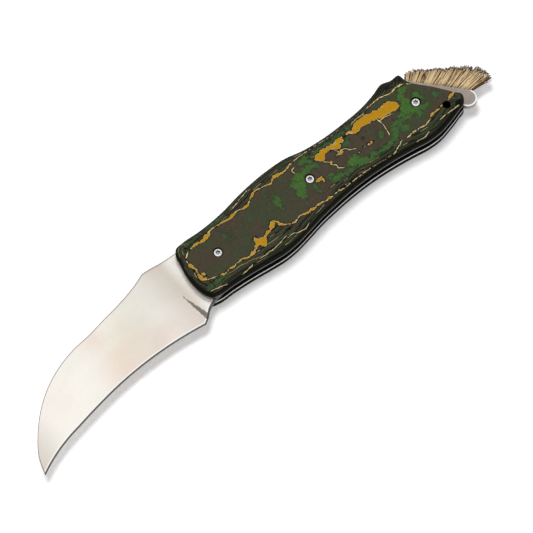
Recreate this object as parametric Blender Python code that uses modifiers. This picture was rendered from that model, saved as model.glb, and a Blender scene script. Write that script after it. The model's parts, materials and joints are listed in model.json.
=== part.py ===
"""Folding mushroom knife: a hooked blade and a bristle brush, which both fold into a contoured handle.

The knife lies on its side. Its own frame has the blade's pivot as origin, +X along the handle to the butt,
+Y to the spine and +Z up, with z = 0 halfway through the handle. The root empty then moves the whole knife
so that its box stands on z = 0, centred in X and Y.
"""

import math
import random

import bmesh
import bpy
from mathutils import Matrix, Vector

# Handle, in metres
handle_length = 0.1052
handle_width = 0.0246
liner_thickness = 0.0010
scale_thickness = 0.0036
seat_gap = 0.0001
weld_distance = 0.000005
shoulder_height = 0.0023
side_shoulder = 0.0036
front_shoulder = 0.0026
butt_shoulder = 0.0011
rim_chamfer = 0.00012

# The handle's outline, as shares of its length from the pivot and of its width from the pivot's line.
# Each point has its shoulder: S for the long sides, F for the front end, B for the butt.
handle_outline_shares = (
    (-0.0846, 0.3963, "S"), (-0.0570, 0.4126, "S"), (0.0, 0.4004, "S"), (0.0665, 0.4065, "S"),
    (0.1046, 0.4228, "S"), (0.1664, 0.4654, "S"), (0.2852, 0.5000, "S"), (0.3517, 0.4817, "S"),
    (0.4040, 0.4268, "S"), (0.4753, 0.3902, "S"), (0.5513, 0.3862, "S"), (0.6321, 0.4065, "S"),
    (0.6844, 0.4512, "S"), (0.7224, 0.4959, "S"), (0.7510, 0.4593, "S"), (0.7795, 0.4431, "B"),
    (0.7852, 0.3333, "B"), (0.8394, 0.0081, "B"), (0.8707, -0.1870, "B"), (0.8850, -0.2805, "B"),
    (0.8774, -0.3455, "B"), (0.8508, -0.3862, "S"), (0.8032, -0.4431, "S"), (0.7605, -0.4776, "S"),
    (0.7224, -0.4756, "S"), (0.6654, -0.4350, "S"), (0.5894, -0.3902, "S"), (0.5133, -0.3679, "S"),
    (0.4563, -0.3679, "S"), (0.3802, -0.3882, "S"), (0.3232, -0.4146, "S"), (0.2567, -0.4654, "S"),
    (0.2044, -0.5000, "S"), (0.1616, -0.5061, "S"), (0.1141, -0.4858, "S"), (0.0570, -0.4533, "S"),
    (-0.0190, -0.4248, "S"), (-0.0780, -0.4106, "F"), (-0.0960, -0.3862, "F"), (-0.1050, -0.3252, "F"),
    (-0.1131, -0.1951, "F"), (-0.1141, -0.0732, "F"), (-0.1093, 0.0894, "F"), (-0.1008, 0.2276, "F"),
    (-0.0932, 0.3496, "F"),
)
outline_steps = 2

# Blade, in metres
blade_length = 0.0878
blade_width = 0.0256
blade_thickness = 0.0022
spring_seat = -0.0070
grind_width = 0.0112
edge_half_thickness = 0.00003
bevel_width = 0.0006
bevel_half_thickness = 0.00019
grind_hollow = 0.00007
grind_steps = 4
plunge_run = 0.0013
plunge_taper_share = 0.85
cut_overrun = 0.0010
blade_closing_angle = math.radians(160.4)

# The blade's outline ahead of the tang, as shares of its length and width: along the spine to the tip, back
# along the edge to the heel, and round the choil to the tang. Its corners are the notch, tip and heel.
blade_spine_shares = (
    (-0.1093, 0.3926), (-0.1663, 0.4062), (-0.2255, 0.4336), (-0.2426, 0.4355), (-0.2688, 0.4043),
    (-0.3064, 0.3652), (-0.3827, 0.3086), (-0.4590, 0.2695), (-0.5342, 0.2266), (-0.6105, 0.2012),
    (-0.6868, 0.1406), (-0.7608, 0.0391), (-0.8371, -0.1250), (-0.9123, -0.3594), (-0.9715, -0.6250),
)
blade_tip_share = (-1.0, -0.8555)
blade_edge_shares = (
    (-0.9487, -0.7773), (-0.8918, -0.7070), (-0.8349, -0.6562), (-0.7779, -0.6211), (-0.7210, -0.5859),
    (-0.6640, -0.5547), (-0.6071, -0.5273), (-0.5501, -0.5078), (-0.4932, -0.4961), (-0.4362, -0.4922),
    (-0.3793, -0.4961), (-0.3223, -0.5078), (-0.2654, -0.5273),
)
blade_heel_share = (-0.1913, -0.5625)
blade_choil_shares = (
    (-0.1731, -0.5273), (-0.1583, -0.4844), (-0.1469, -0.4512), (-0.1276, -0.4180), (-0.0979, -0.3867),
    (-0.0729, -0.3848), (-0.0490, -0.3555),
)
plunge_foot_share = (-0.1754, -0.5735)
plunge_top_share = (-0.1913, -0.0781)

# Blade pivot and stop, in metres. The slot's radius is a share of the tang's, so both its walls follow.
pivot_radius = 0.0025
pivot_clearance = 0.0001
washer_clearance = 0.00015
washer_thickness = 0.00016
washer_gap = 0.00007
stop_pin_radius = 0.0009
stop_slot_clearance = 0.00025
stop_slot_share = 0.727
stop_pin_angle = math.radians(60)
tang_flat_start = math.radians(-86)
tang_flat_end = math.radians(-55)

# Backspring, in metres. Its nose takes a share of the height that the handle's spine has over the pivot.
spring_clearance = 0.0003
spring_nose_share = 0.1757
spring_arm_height = 0.0030
spring_pin_wall = 0.0009
spring_end_share = 0.529
spring_root_share = 0.353
spring_columns = 32
spring_pin_radius = 0.0012
spring_pin_shares = ((0.400, 0.329), (0.499, 0.301))

# Screws, in metres
head_radius = 0.00142
head_thickness = 0.0010
head_sink = 0.0003
head_clearance = 0.0002
head_round = 0.00025
shank_radius = 0.0009
shank_clearance = 0.0001
socket_radius = 0.0007
socket_depth = 0.0005
socket_sides = 6
pivot_screw_tip = 0.0005
scale_screw_shares = ((0.3603, 0.0386), (0.7595, 0.0))

# Lanyard tube, in metres
lanyard_share = (0.8232, -0.2805)
lanyard_bore = 0.00125
lanyard_wall = 0.00055

# Brush, in metres
brush_pin_share = (0.7833, 0.0813)
brush_pin_radius = 0.0014
brush_washer_radius = 0.0029
brush_hub_radius = 0.0033
brush_washer_thickness = 0.00016
carrier_chamfer = 0.00025
tab_share = (0.9002, -0.3049)
tab_radius = 0.0029
brush_stop_gap = 0.0003
tab_end_angle = math.radians(-164)
notch_end_angle = math.radians(100)
hub_start_angle = math.radians(-75)
hub_end_angle = math.radians(-195)
brush_line_start_share = (0.7880, 0.4146)
brush_line_end_share = (0.9221, -0.2480)
carrier_corner_shares = ((0.7766, 0.4228), (0.7671, 0.3171), (0.7560, 0.1829))
carrier_waist_share = (0.8100, -0.0750)
backing_depth = 0.0016
backing_height = 0.0011
backing_margin = 0.0006
backing_clearance = 0.00012
bristle_length = 0.0105
bristle_radius = 0.000055
bristle_spread = 1.7
bristles_in_a_row = 90
bristle_row_shares = (-0.36, -0.12, 0.12, 0.36)
bristles_in_a_tuft = 6
tuft_pull_share = 0.25
bristle_jitter_share = 0.07
bristle_sink = 0.0004
bristle_sides = 3
bristle_seed = 11

# The fan of the bristles: share along the brush line, direction in degrees and share of the full length.
bristle_fan_shares = (
    (0.00, 60, 0.17), (0.04, 50, 0.27), (0.10, 41, 0.44), (0.20, 27, 0.49), (0.35, 21, 0.62),
    (0.50, 17, 0.71), (0.65, 16, 0.82), (0.75, 12, 0.93), (0.85, 5, 1.00), (0.93, -1, 0.97),
    (0.97, -5, 0.90), (1.00, -9, 0.80),
)

# Facets
round_steps = 32
small_round_steps = 20
shoulder_steps = 5
corner_steps = 4
sharp_angle = math.radians(32)
chamfer_angle = math.radians(60)
flat_normal_share = 0.5

# Thicknesses and heights that follow from the layers
slot_width = blade_thickness + 2 * (washer_thickness + 2 * washer_gap)
carrier_thickness = slot_width - 2 * (brush_washer_thickness + 2 * washer_gap)
spring_thickness = slot_width - 2 * seat_gap
half_slot = slot_width / 2
liner_middle = half_slot + liner_thickness / 2
liner_face = half_slot + liner_thickness
scale_seat = liner_face + seat_gap
scale_face = scale_seat + scale_thickness
head_top = scale_face - head_sink
head_seat = head_top - head_thickness
washer_middle = (half_slot + blade_thickness / 2) / 2
brush_washer_middle = (half_slot + carrier_thickness / 2) / 2


def clear_scene():
    for obj in list(bpy.data.objects):
        bpy.data.objects.remove(obj)


def make_collection(name):
    collection = bpy.data.collections.new(name)
    bpy.context.scene.collection.children.link(collection)
    return collection


def make_empty(name, at, parent=None):
    """An empty that carries other objects, such as a moving piece on its joint's axis."""
    empty = bpy.data.objects.new(name, None)
    parts.objects.link(empty)
    empty.location = (at[0], at[1], 0)
    empty.parent = parent
    return empty


def make_material(name, colour, roughness, metallic):
    material = bpy.data.materials.new(name)
    material.use_nodes = True
    shader = material.node_tree.nodes["Principled BSDF"]
    shader.inputs["Base Color"].default_value = (*colour, 1)
    shader.inputs["Roughness"].default_value = roughness
    shader.inputs["Metallic"].default_value = metallic
    return material


def place(obj, collection, parent, material=None):
    """Puts an object in its collection, with its material, under an empty that leaves it where it is."""
    for old in list(obj.users_collection):
        old.objects.unlink(obj)
    collection.objects.link(obj)
    obj.parent = parent
    obj.matrix_parent_inverse = Matrix.Translation(-parent.location)
    if material:
        obj.data.materials.append(material)
    return obj


def at_handle(share):
    """A point given as shares of the handle's length and width."""
    return Vector((share[0] * handle_length, share[1] * handle_width))


def at_blade(share):
    """A point given as shares of the blade's length and width."""
    return Vector((share[0] * blade_length, share[1] * blade_width))


def smooth_path(points, steps):
    """A curve through all the points, open at its ends, with its tangents weighted by the spans' lengths."""
    path = []
    for i in range(len(points) - 1):
        tangents = []
        for k in (i, i + 1):
            before, after = points[max(k - 1, 0)], points[min(k + 1, len(points) - 1)]
            back, ahead = points[k] - before, after - points[k]
            if back.length == 0 or ahead.length == 0:
                tangents.append((back + ahead).normalized())
            else:
                mixed = back * (ahead.length / back.length) + ahead * (back.length / ahead.length)
                tangents.append(mixed / (back.length + ahead.length))
        start, end = points[i], points[i + 1]
        span = (end - start).length
        for step in range(steps):
            t = step / steps
            path.append(
                start * (2 * t**3 - 3 * t**2 + 1)
                + tangents[0] * span * (t**3 - 2 * t**2 + t)
                + end * (3 * t**2 - 2 * t**3)
                + tangents[1] * span * (t**3 - t**2)
            )
    return path + [points[-1]]


def smooth_loop(points, steps):
    """A closed curve through all the points."""
    count = len(points)
    wrapped = [points[i % count] for i in range(-2, count + 2)]
    path = smooth_path(wrapped, steps)
    return path[2 * steps : 2 * steps + count * steps]


def arc(centre, radius, start, end, steps):
    return [
        centre + Vector((math.cos(a), math.sin(a))) * radius
        for a in (start + (end - start) * i / steps for i in range(steps + 1))
    ]


def mesh_object(name, build):
    """An object whose mesh is built by a function that fills a bmesh."""
    mesh = bpy.data.meshes.new(name)
    shape = bmesh.new()
    build(shape)
    bmesh.ops.recalc_face_normals(shape, faces=shape.faces)
    shape.to_mesh(mesh)
    shape.free()
    obj = bpy.data.objects.new(name, mesh)
    bpy.context.scene.collection.objects.link(obj)
    return obj


def shade(obj):
    obj.data.shade_smooth()
    obj.data.set_sharp_from_angle(angle=sharp_angle)
    return obj


def plate(name, loop, thickness, middle, chamfer=0):
    """A flat plate: a filled 2D curve, extruded both ways from its middle height, made a mesh."""
    curve = bpy.data.curves.new(name, "CURVE")
    curve.dimensions = "2D"
    curve.fill_mode = "BOTH"
    curve.extrude = thickness / 2
    spline = curve.splines.new("POLY")
    spline.points.add(len(loop) - 1)
    for point, (x, y) in zip(spline.points, loop):
        point.co = (x, y, 0, 1)
    spline.use_cyclic_u = True
    drawn = bpy.data.objects.new(name + "_curve", curve)
    bpy.context.scene.collection.objects.link(drawn)
    bpy.context.view_layer.update()
    mesh = bpy.data.meshes.new_from_object(drawn.evaluated_get(bpy.context.evaluated_depsgraph_get()))
    bpy.data.objects.remove(drawn)

    def weld(shape):
        shape.from_mesh(mesh)
        bmesh.ops.remove_doubles(shape, verts=shape.verts, dist=weld_distance)
        caps = [face for face in shape.faces if abs(face.normal.z) > flat_normal_share]
        inner = [edge for edge in shape.edges if all(face in caps for face in edge.link_faces)]
        bmesh.ops.dissolve_edges(shape, edges=inner, use_verts=False)

    obj = mesh_object(name, weld)
    obj.location.z = middle
    if chamfer:
        bevel = obj.modifiers.new("chamfer", "BEVEL")
        bevel.width = chamfer
        bevel.segments = 1
        bevel.limit_method = "ANGLE"
        bevel.angle_limit = chamfer_angle
    return obj


def turned(name, profile, at, height, steps=round_steps, closed=False):
    """A turned piece: a profile of (radius, z), from its top down its outer side, with a Screw modifier."""
    mesh = bpy.data.meshes.new(name)
    edges = [(i, i + 1) for i in range(len(profile) - 1)]
    if closed:
        edges.append((len(profile) - 1, 0))
    mesh.from_pydata([(radius, 0, z) for radius, z in profile], edges, [])
    obj = bpy.data.objects.new(name, mesh)
    bpy.context.scene.collection.objects.link(obj)
    obj.location = (at[0], at[1], height)
    screw = obj.modifiers.new("turn", "SCREW")
    screw.steps = screw.render_steps = steps
    screw.use_merge_vertices = True
    screw.merge_threshold = weld_distance
    return obj


def tube(name, outer, bore, length, at, height, steps=round_steps):
    """A turned ring or tube, centred on a height."""
    top, bottom = length / 2, -length / 2
    return turned(name, [(outer, top), (outer, bottom), (bore, bottom), (bore, top)], at, height, steps, True)


def pin(name, radius, length, at, height, steps=small_round_steps):
    """A turned pin, centred on a height."""
    top, bottom = length / 2, -length / 2
    return turned(name, [(0, top), (radius, top), (radius, bottom), (0, bottom)], at, height, steps)


def cut(obj, cutter):
    """Takes the cutter away from the object with a Boolean modifier."""
    cutter.hide_render = True
    cutter.display_type = "WIRE"
    if cutter.name not in cutters.objects:
        place(cutter, cutters, obj.parent)
    modifier = obj.modifiers.new(cutter.name, "BOOLEAN")
    modifier.operation = "DIFFERENCE"
    modifier.object = cutter
    return obj


def round_cutter(name, radius, at, length=None, steps=small_round_steps):
    """A cutter for a round hole right through the handle."""
    reach = length or 2 * (scale_face + cut_overrun)
    return pin(name, radius, reach, at, 0, steps)


def spine_height(x):
    """The height of the handle's spine at a place along it."""
    upper = sorted((p.x, p.y) for p in handle_loop if p.y > 0)
    for (x0, y0), (x1, y1) in zip(upper, upper[1:]):
        if x0 <= x <= x1 and x1 > x0:
            return y0 + (y1 - y0) * (x - x0) / (x1 - x0)
    return upper[-1][1]


# Outlines that several pieces share
handle_points = [at_handle(share) for share in handle_outline_shares]
handle_loop = smooth_loop(handle_points, outline_steps)
pivot = Vector((0, 0))
tang_radius = spine_height(pivot.x) * (1 - spring_nose_share) - rim_chamfer - spring_clearance
stop_slot_radius = tang_radius * stop_slot_share
washer_radius = stop_slot_radius - stop_pin_radius - stop_slot_clearance - washer_clearance
stop_pin_at = Vector((math.cos(stop_pin_angle), math.sin(stop_pin_angle))) * stop_slot_radius
spring_pins_at = [at_handle(share) for share in spring_pin_shares]
scale_screws_at = [at_handle(share) for share in scale_screw_shares]
lanyard_at = at_handle(lanyard_share)
lanyard_radius = lanyard_bore + lanyard_wall
brush_pin_at = at_handle(brush_pin_share)


def plateau_points():
    """The handle's points moved in by their shoulders: the rim of each scale's flat."""
    widths = {"S": side_shoulder, "F": front_shoulder, "B": butt_shoulder}
    moved = []
    count = len(handle_points)
    for i, point in enumerate(handle_points):
        along = (handle_points[(i + 1) % count] - handle_points[i - 1]).normalized()
        inward = Vector((along.y, -along.x))
        moved.append(point + inward * widths[handle_outline_shares[i][2]])
    return moved


def build_screw_hole(name, spot, side):
    """The stepped cutter of a scale's screw hole, with the counterbore for the head."""
    head, shank = head_radius + head_clearance, shank_radius + shank_clearance
    top, bottom = scale_face + cut_overrun, scale_seat - cut_overrun
    seat = head_seat - seat_gap
    profile = [(0, top), (head, top), (head, seat), (shank, seat), (shank, bottom), (0, bottom)]
    cutter = turned(name, profile, spot, 0, small_round_steps)
    if side < 0:
        cutter.rotation_euler.x = math.pi
    return cutter


def build_scale(name, side):
    """A scale: rings from the seat up the side and round the elliptical shoulder to the flat, with holes."""
    flat = smooth_loop(plateau_points(), outline_steps)
    wall_top = scale_face - shoulder_height
    rings = [(0.0, scale_seat)]
    for step in range(shoulder_steps + 1):
        turn = math.pi / 2 * step / shoulder_steps
        rings.append((1 - math.cos(turn), wall_top + shoulder_height * math.sin(turn)))

    def fill(shape):
        loops = []
        for share, z in rings:
            ring = [outer.lerp(inner, share) for outer, inner in zip(handle_loop, flat)]
            loops.append([shape.verts.new((*point, side * z)) for point in ring])
        for lower, upper in zip(loops, loops[1:]):
            for i in range(len(lower)):
                k = (i + 1) % len(lower)
                shape.faces.new((lower[i], lower[k], upper[k], upper[i]))
        shape.faces.new(loops[0])
        shape.faces.new(loops[-1])

    scale = shade(place(mesh_object(name, fill), parts, root, laminate))
    for number, spot in enumerate([pivot] + scale_screws_at):
        cut(scale, build_screw_hole(f"{name}_screw_hole_{number}", spot, side))
    cut(scale, round_cutter(f"{name}_lanyard_hole", lanyard_bore, lanyard_at))
    return scale


def build_liner(name, side):
    """A liner with the handle's outline and the holes of every pin, barrel and screw."""
    liner = plate(name, handle_loop, liner_thickness, side * liner_middle, rim_chamfer)
    place(liner, parts, root, spring_steel)
    holes = [
        (pivot, pivot_radius + pivot_clearance),
        (stop_pin_at, stop_pin_radius + pivot_clearance),
        (brush_pin_at, brush_pin_radius + pivot_clearance),
        (lanyard_at, lanyard_radius + pivot_clearance),
    ]
    holes += [(spot, spring_pin_radius + pivot_clearance) for spot in spring_pins_at]
    holes += [(spot, shank_radius + shank_clearance) for spot in scale_screws_at]
    for number, (spot, radius) in enumerate(holes):
        cut(liner, round_cutter(f"{name}_hole_{number}", radius, spot))
    return shade(liner)


def blade_loop():
    """The whole outline of the blade, with the tang's cam behind the pivot."""
    notch_top = Vector((spring_seat, blade_spine_shares[0][1] * blade_width))
    notch_foot = Vector((spring_seat, tang_radius))
    tip, heel = at_blade(blade_tip_share), at_blade(blade_heel_share)
    spine = smooth_path([notch_top] + [at_blade(s) for s in blade_spine_shares] + [tip], outline_steps)
    edge = smooth_path([tip] + [at_blade(s) for s in blade_edge_shares] + [heel], outline_steps)
    flat_foot = arc(pivot, tang_radius, tang_flat_start, tang_flat_start, 1)[0]
    choil = smooth_path([heel] + [at_blade(s) for s in blade_choil_shares] + [flat_foot], outline_steps)
    cam = arc(pivot, tang_radius, tang_flat_end, math.pi / 2, round_steps // 2)
    return [notch_foot] + spine[:-1] + edge[:-1] + choil + cam


def grind_height(depth):
    """Half the blade's thickness at a depth from the edge: the edge bevel, then the slightly hollow grind."""
    half = blade_thickness / 2
    if depth < bevel_width:
        return edge_half_thickness + (bevel_half_thickness - edge_half_thickness) * depth / bevel_width
    share = (depth - bevel_width) / (grind_width - bevel_width)
    sag = 4 * grind_hollow * share * (1 - share) if share < 1 else 0
    return bevel_half_thickness + (half - bevel_half_thickness) * share - sag


def build_grind_cutter(name, side):
    """What the wheel takes from one face: a wedge that follows the edge from the plunge to beyond the tip."""
    foot, top = at_blade(plunge_foot_share), at_blade(plunge_top_share)
    edge_shares = (blade_heel_share,) + blade_edge_shares[::-1] + (blade_tip_share,)
    edge = smooth_path([at_blade(share) for share in edge_shares], outline_steps)
    ahead = (edge[-1] - edge[-2]).normalized()
    path = [foot] + edge + [edge[-1] + ahead * grind_width]
    normals = [(top - foot).normalized()]
    for i in range(1, len(path)):
        along = (path[min(i + 1, len(path) - 1)] - path[i - 1]).normalized()
        normals.append(Vector((along.y, -along.x)))
    depths = [-bevel_width, 0.0]
    depths += [bevel_width + (grind_width - bevel_width) * i / grind_steps for i in range(grind_steps + 1)]
    depths.append(grind_width + bevel_width)
    above = blade_thickness / 2 + cut_overrun
    lift = blade_thickness / 2 + cut_overrun / 2

    def section(points, heights):
        """One closed ring: the ground surface below, the open air above."""
        low = list(zip(points, heights))
        return low + [(points[-1], above), (points[0], above)]

    plunge_along = Vector((normals[0].y, -normals[0].x))
    runs = [plunge_run * (1 - plunge_taper_share * max(d, 0) / depths[-1]) for d in depths]
    behind = [foot + normals[0] * d + plunge_along * run for d, run in zip(depths, runs)]
    sections = [section(behind, [lift] * len(depths))]
    for point, normal in zip(path, normals):
        sections.append(section([point + normal * d for d in depths], [grind_height(d) for d in depths]))

    def fill(shape):
        loops = [[shape.verts.new((*p, side * z)) for p, z in points] for points in sections]
        for first, second in zip(loops, loops[1:]):
            for i in range(len(first)):
                k = (i + 1) % len(first)
                shape.faces.new((first[i], first[k], second[k], second[i]))
        shape.faces.new(loops[0])
        shape.faces.new(loops[-1])
        bmesh.ops.triangulate(shape, faces=shape.faces)

    return mesh_object(name, fill)


def stop_slot_loop():
    """The round slot in the tang: its ends meet the stop pin when the blade is open and when it is closed."""
    half = stop_pin_radius + stop_slot_clearance
    start, end = stop_pin_angle, stop_pin_angle - blade_closing_angle
    first = Vector((math.cos(start), math.sin(start))) * stop_slot_radius
    last = Vector((math.cos(end), math.sin(end))) * stop_slot_radius
    steps = round_steps // 2
    loop = arc(pivot, stop_slot_radius + half, end, start, steps)
    loop += arc(first, half, start, start + math.pi, corner_steps * 2)[1:-1]
    loop += arc(pivot, stop_slot_radius - half, start, end, steps)
    loop += arc(last, half, end + math.pi, end + 2 * math.pi, corner_steps * 2)[1:-1]
    return loop


def build_blade():
    blade = plate("blade", blade_loop(), blade_thickness, 0, rim_chamfer)
    place(blade, parts, blade_axis, blade_steel)
    reach = blade_thickness + cut_overrun
    cut(blade, build_grind_cutter("upper_grind_cutter", 1))
    cut(blade, build_grind_cutter("lower_grind_cutter", -1))
    cut(blade, round_cutter("blade_pivot_hole", pivot_radius + pivot_clearance, pivot, reach, round_steps))
    cut(blade, plate("blade_stop_slot", stop_slot_loop(), reach, 0))
    return shade(blade)


def spring_loop():
    """The backspring: its back follows the handle's spine, its nose the tang, and two pins hold its root."""
    nose_foot = tang_radius + spring_clearance
    start = spring_seat + spring_clearance
    end, root_start = spring_end_share * handle_length, spring_root_share * handle_length
    columns = [start + (end - start) * i / spring_columns for i in range(spring_columns + 1)]
    back = [Vector((x, spine_height(x) - rim_chamfer)) for x in columns]
    arm = [x for x in reversed(columns) if x < root_start and spine_height(x) - spring_arm_height > nose_foot]
    root_foot = min(spot.y for spot in spring_pins_at) - spring_pin_radius - pivot_clearance - spring_pin_wall
    belly = [Vector((end, root_foot)), Vector((root_start + spring_arm_height, root_foot))]
    belly += [Vector((x, spine_height(x) - spring_arm_height)) for x in arm]
    return back + belly + [Vector((arm[-1] - spring_arm_height, nose_foot)), Vector((start, nose_foot))]


def build_backspring():
    spring = plate("backspring", spring_loop(), spring_thickness, 0, rim_chamfer)
    place(spring, parts, root, spring_steel)
    reach = spring_thickness + cut_overrun
    for number, spot in enumerate(spring_pins_at):
        cut(spring, round_cutter(f"spring_hole_{number}", spring_pin_radius + pivot_clearance, spot, reach))
    return shade(spring)


def build_screw(name, spot, side, tip):
    """A screw with a rounded pan head and a hexagonal socket, sunk under a scale's face."""
    length = head_seat - tip
    top, seat = head_thickness, 0.0
    profile = [
        (0, top), (head_radius - head_round, top), (head_radius, top - head_round), (head_radius, seat),
        (shank_radius, seat), (shank_radius, -length), (0, -length),
    ]
    screw = turned(name, profile, spot, side * head_seat, small_round_steps)
    place(screw, parts, root, screw_steel)
    if side < 0:
        screw.rotation_euler.x = math.pi
    socket = pin(name + "_socket", socket_radius, 2 * socket_depth, spot, side * head_top, socket_sides)
    cut(screw, socket)
    return screw


def carrier_loop():
    """The brush carrier: a hub on its pin, the bristle line, the thumb tab and the notch of its open stop."""
    start, end = at_handle(brush_line_start_share), at_handle(brush_line_end_share)
    tab = at_handle(tab_share)
    to_end = end - tab
    first = math.atan2(to_end.y, to_end.x)
    notch_radius = lanyard_radius + brush_stop_gap
    tab_arc = arc(tab, tab_radius, first, tab_end_angle, corner_steps * 4)
    notch = arc(lanyard_at, notch_radius, 0, notch_end_angle, corner_steps * 2)
    waist = at_handle(carrier_waist_share)
    hub = arc(brush_pin_at, brush_hub_radius, hub_start_angle, hub_end_angle, corner_steps * 3)
    side = [at_handle(share) for share in reversed(carrier_corner_shares)]
    return [start, end] + tab_arc + notch + [waist] + hub + side


def brush_frame():
    """The brush line's start, its length, and the directions along it and out of it."""
    start, end = at_handle(brush_line_start_share), at_handle(brush_line_end_share)
    along = (end - start).normalized()
    return start, (end - start).length, along, Vector((-along.y, along.x))


def strip_loop(depth, margin, proud=0):
    """A strip along the brush line, from a depth behind it to a little before or past it."""
    start, length, along, out = brush_frame()
    first, last = start + along * margin, start + along * (length - margin)
    return [first - out * depth, last - out * depth, last + out * proud, first + out * proud]


def build_carrier():
    carrier = plate("brush_carrier", carrier_loop(), carrier_thickness, 0, carrier_chamfer)
    place(carrier, parts, brush_axis, spring_steel)
    groove = plate(
        "carrier_groove", strip_loop(backing_depth, backing_margin, cut_overrun), backing_height, 0
    )
    cut(carrier, groove)
    hole = round_cutter(
        "carrier_pin_hole", brush_pin_radius + pivot_clearance, brush_pin_at, carrier_thickness + cut_overrun
    )
    cut(carrier, hole)
    return shade(carrier)


def fan_at(share):
    """The direction and length of the bristles at a share of the brush line."""
    for (s0, a0, l0), (s1, a1, l1) in zip(bristle_fan_shares, bristle_fan_shares[1:]):
        if share <= s1:
            t = (share - s0) / (s1 - s0)
            return math.radians(a0 + (a1 - a0) * t), (l0 + (l1 - l0) * t) * bristle_length
    return math.radians(bristle_fan_shares[-1][1]), bristle_fan_shares[-1][2] * bristle_length


def bristle_ends():
    """The root and tip of each bristle. A tuft's tips lean to its middle, by less than would cross them."""
    start, length, along, _ = brush_frame()
    reach = length - 2 * (backing_margin + backing_clearance) - 4 * bristle_radius
    draw = random.Random(bristle_seed)
    ends = []
    for row, height_share in enumerate(bristle_row_shares):
        height = height_share * (backing_height - 2 * backing_clearance)
        for i in range(bristles_in_a_row):
            share = (i + 0.5) / bristles_in_a_row
            tuft = (i // bristles_in_a_tuft + 0.5) * bristles_in_a_tuft / bristles_in_a_row
            leaned = share + (min(tuft, 1.0) - share) * tuft_pull_share
            angle, reached = fan_at(leaned)
            reached *= 1 - bristle_jitter_share * draw.random()
            offset = (length - reach) / 2
            root_spot = start + along * (offset + reach * share)
            tip_base = start + along * (offset + reach * leaned)
            tip = tip_base + Vector((math.cos(angle), math.sin(angle))) * reached
            ends.append((root_spot, height, tip, height * bristle_spread, row))
    return ends


def build_bristles():
    """Bristles of few sides in rows, joined to the strip that holds them in the carrier's groove."""
    strip = strip_loop(backing_depth - backing_clearance, backing_margin + backing_clearance)
    bristles = plate("bristles", strip, backing_height - 2 * backing_clearance, 0)
    place(bristles, parts, brush_axis, boar_bristle)
    turns = [math.pi / 2 + 2 * math.pi * i / bristle_sides for i in range(bristle_sides)]

    def fill(shape):
        for root_spot, low, tip, high, _ in bristle_ends():
            direction = (tip - root_spot).normalized()
            across = Vector((-direction.y, direction.x))
            rings = []
            for spot, height in ((root_spot - direction * bristle_sink, low), (tip, high)):
                ring = []
                for turn in turns:
                    point = spot + across * bristle_radius * math.cos(turn)
                    ring.append(shape.verts.new((*point, height + bristle_radius * math.sin(turn))))
                rings.append(ring)
            for i in range(bristle_sides):
                k = (i + 1) % bristle_sides
                shape.faces.new((rings[0][i], rings[0][k], rings[1][k], rings[1][i]))
            shape.faces.new(rings[0])
            shape.faces.new(rings[1])

    strands = place(mesh_object("bristle_strands", fill), cutters, brush_axis)
    strands.hide_render = True
    strands.display_type = "WIRE"
    join = bristles.modifiers.new("strands", "BOOLEAN")
    join.operation = "UNION"
    join.object = strands
    return bristles


def least_bristle_gap():
    """The least distance between two neighbouring bristles of one row, at their tips."""
    ends = bristle_ends()
    least = bristle_length
    for (_, _, tip, _, row), (_, _, other, _, other_row) in zip(ends, ends[1:]):
        if row == other_row:
            least = min(least, (tip - other).length - 2 * bristle_radius)
    return least


def set_on_ground():
    """Moves the root so that the knife's box stands on z = 0, centred over the origin."""
    bpy.context.view_layer.update()
    graph = bpy.context.evaluated_depsgraph_get()
    corners = []
    for obj in parts.objects:
        if obj.type == "MESH":
            shown = obj.evaluated_get(graph)
            corners += [shown.matrix_world @ Vector(corner) for corner in shown.bound_box]
    low = Vector([min(c[i] for c in corners) for i in range(3)])
    high = Vector([max(c[i] for c in corners) for i in range(3)])
    root.location = (-(low.x + high.x) / 2, -(low.y + high.y) / 2, -low.z)
    bpy.context.view_layer.update()


clear_scene()
parts = make_collection("mushroom_knife")
cutters = make_collection("cutters")
root = make_empty("knife_root", pivot)
blade_axis = make_empty("blade_axis", pivot, root)
brush_axis = make_empty("brush_axis", brush_pin_at, root)

blade_steel = make_material("satin_blade_steel", (0.66, 0.65, 0.63), 0.26, 1.0)
spring_steel = make_material("brushed_spring_steel", (0.55, 0.54, 0.53), 0.32, 1.0)
screw_steel = make_material("bright_screw_steel", (0.72, 0.72, 0.72), 0.22, 1.0)
washer_bronze = make_material("phosphor_bronze", (0.62, 0.38, 0.18), 0.35, 1.0)
laminate = make_material("camouflage_laminate", (0.062, 0.058, 0.042), 0.42, 0.0)
boar_bristle = make_material("boar_bristle", (0.52, 0.37, 0.20), 0.6, 0.0)

for side_name, side in (("upper", 1), ("lower", -1)):
    build_scale(side_name + "_scale", side)
    build_liner(side_name + "_liner", side)
    washer = tube(
        side_name + "_pivot_washer", washer_radius, pivot_radius + pivot_clearance, washer_thickness, pivot,
        side * washer_middle,
    )
    place(washer, parts, root, washer_bronze)
    brush_washer = tube(
        side_name + "_brush_washer", brush_washer_radius, brush_pin_radius + pivot_clearance,
        brush_washer_thickness, brush_pin_at, side * brush_washer_middle, small_round_steps,
    )
    place(brush_washer, parts, root, washer_bronze)
    build_screw(side_name + "_pivot_screw", pivot, side, pivot_screw_tip)
    for place_name, spot in zip(("middle", "rear"), scale_screws_at):
        build_screw(f"{side_name}_{place_name}_screw", spot, side, half_slot + seat_gap)

build_blade()
build_backspring()
build_carrier()
build_bristles()

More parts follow.
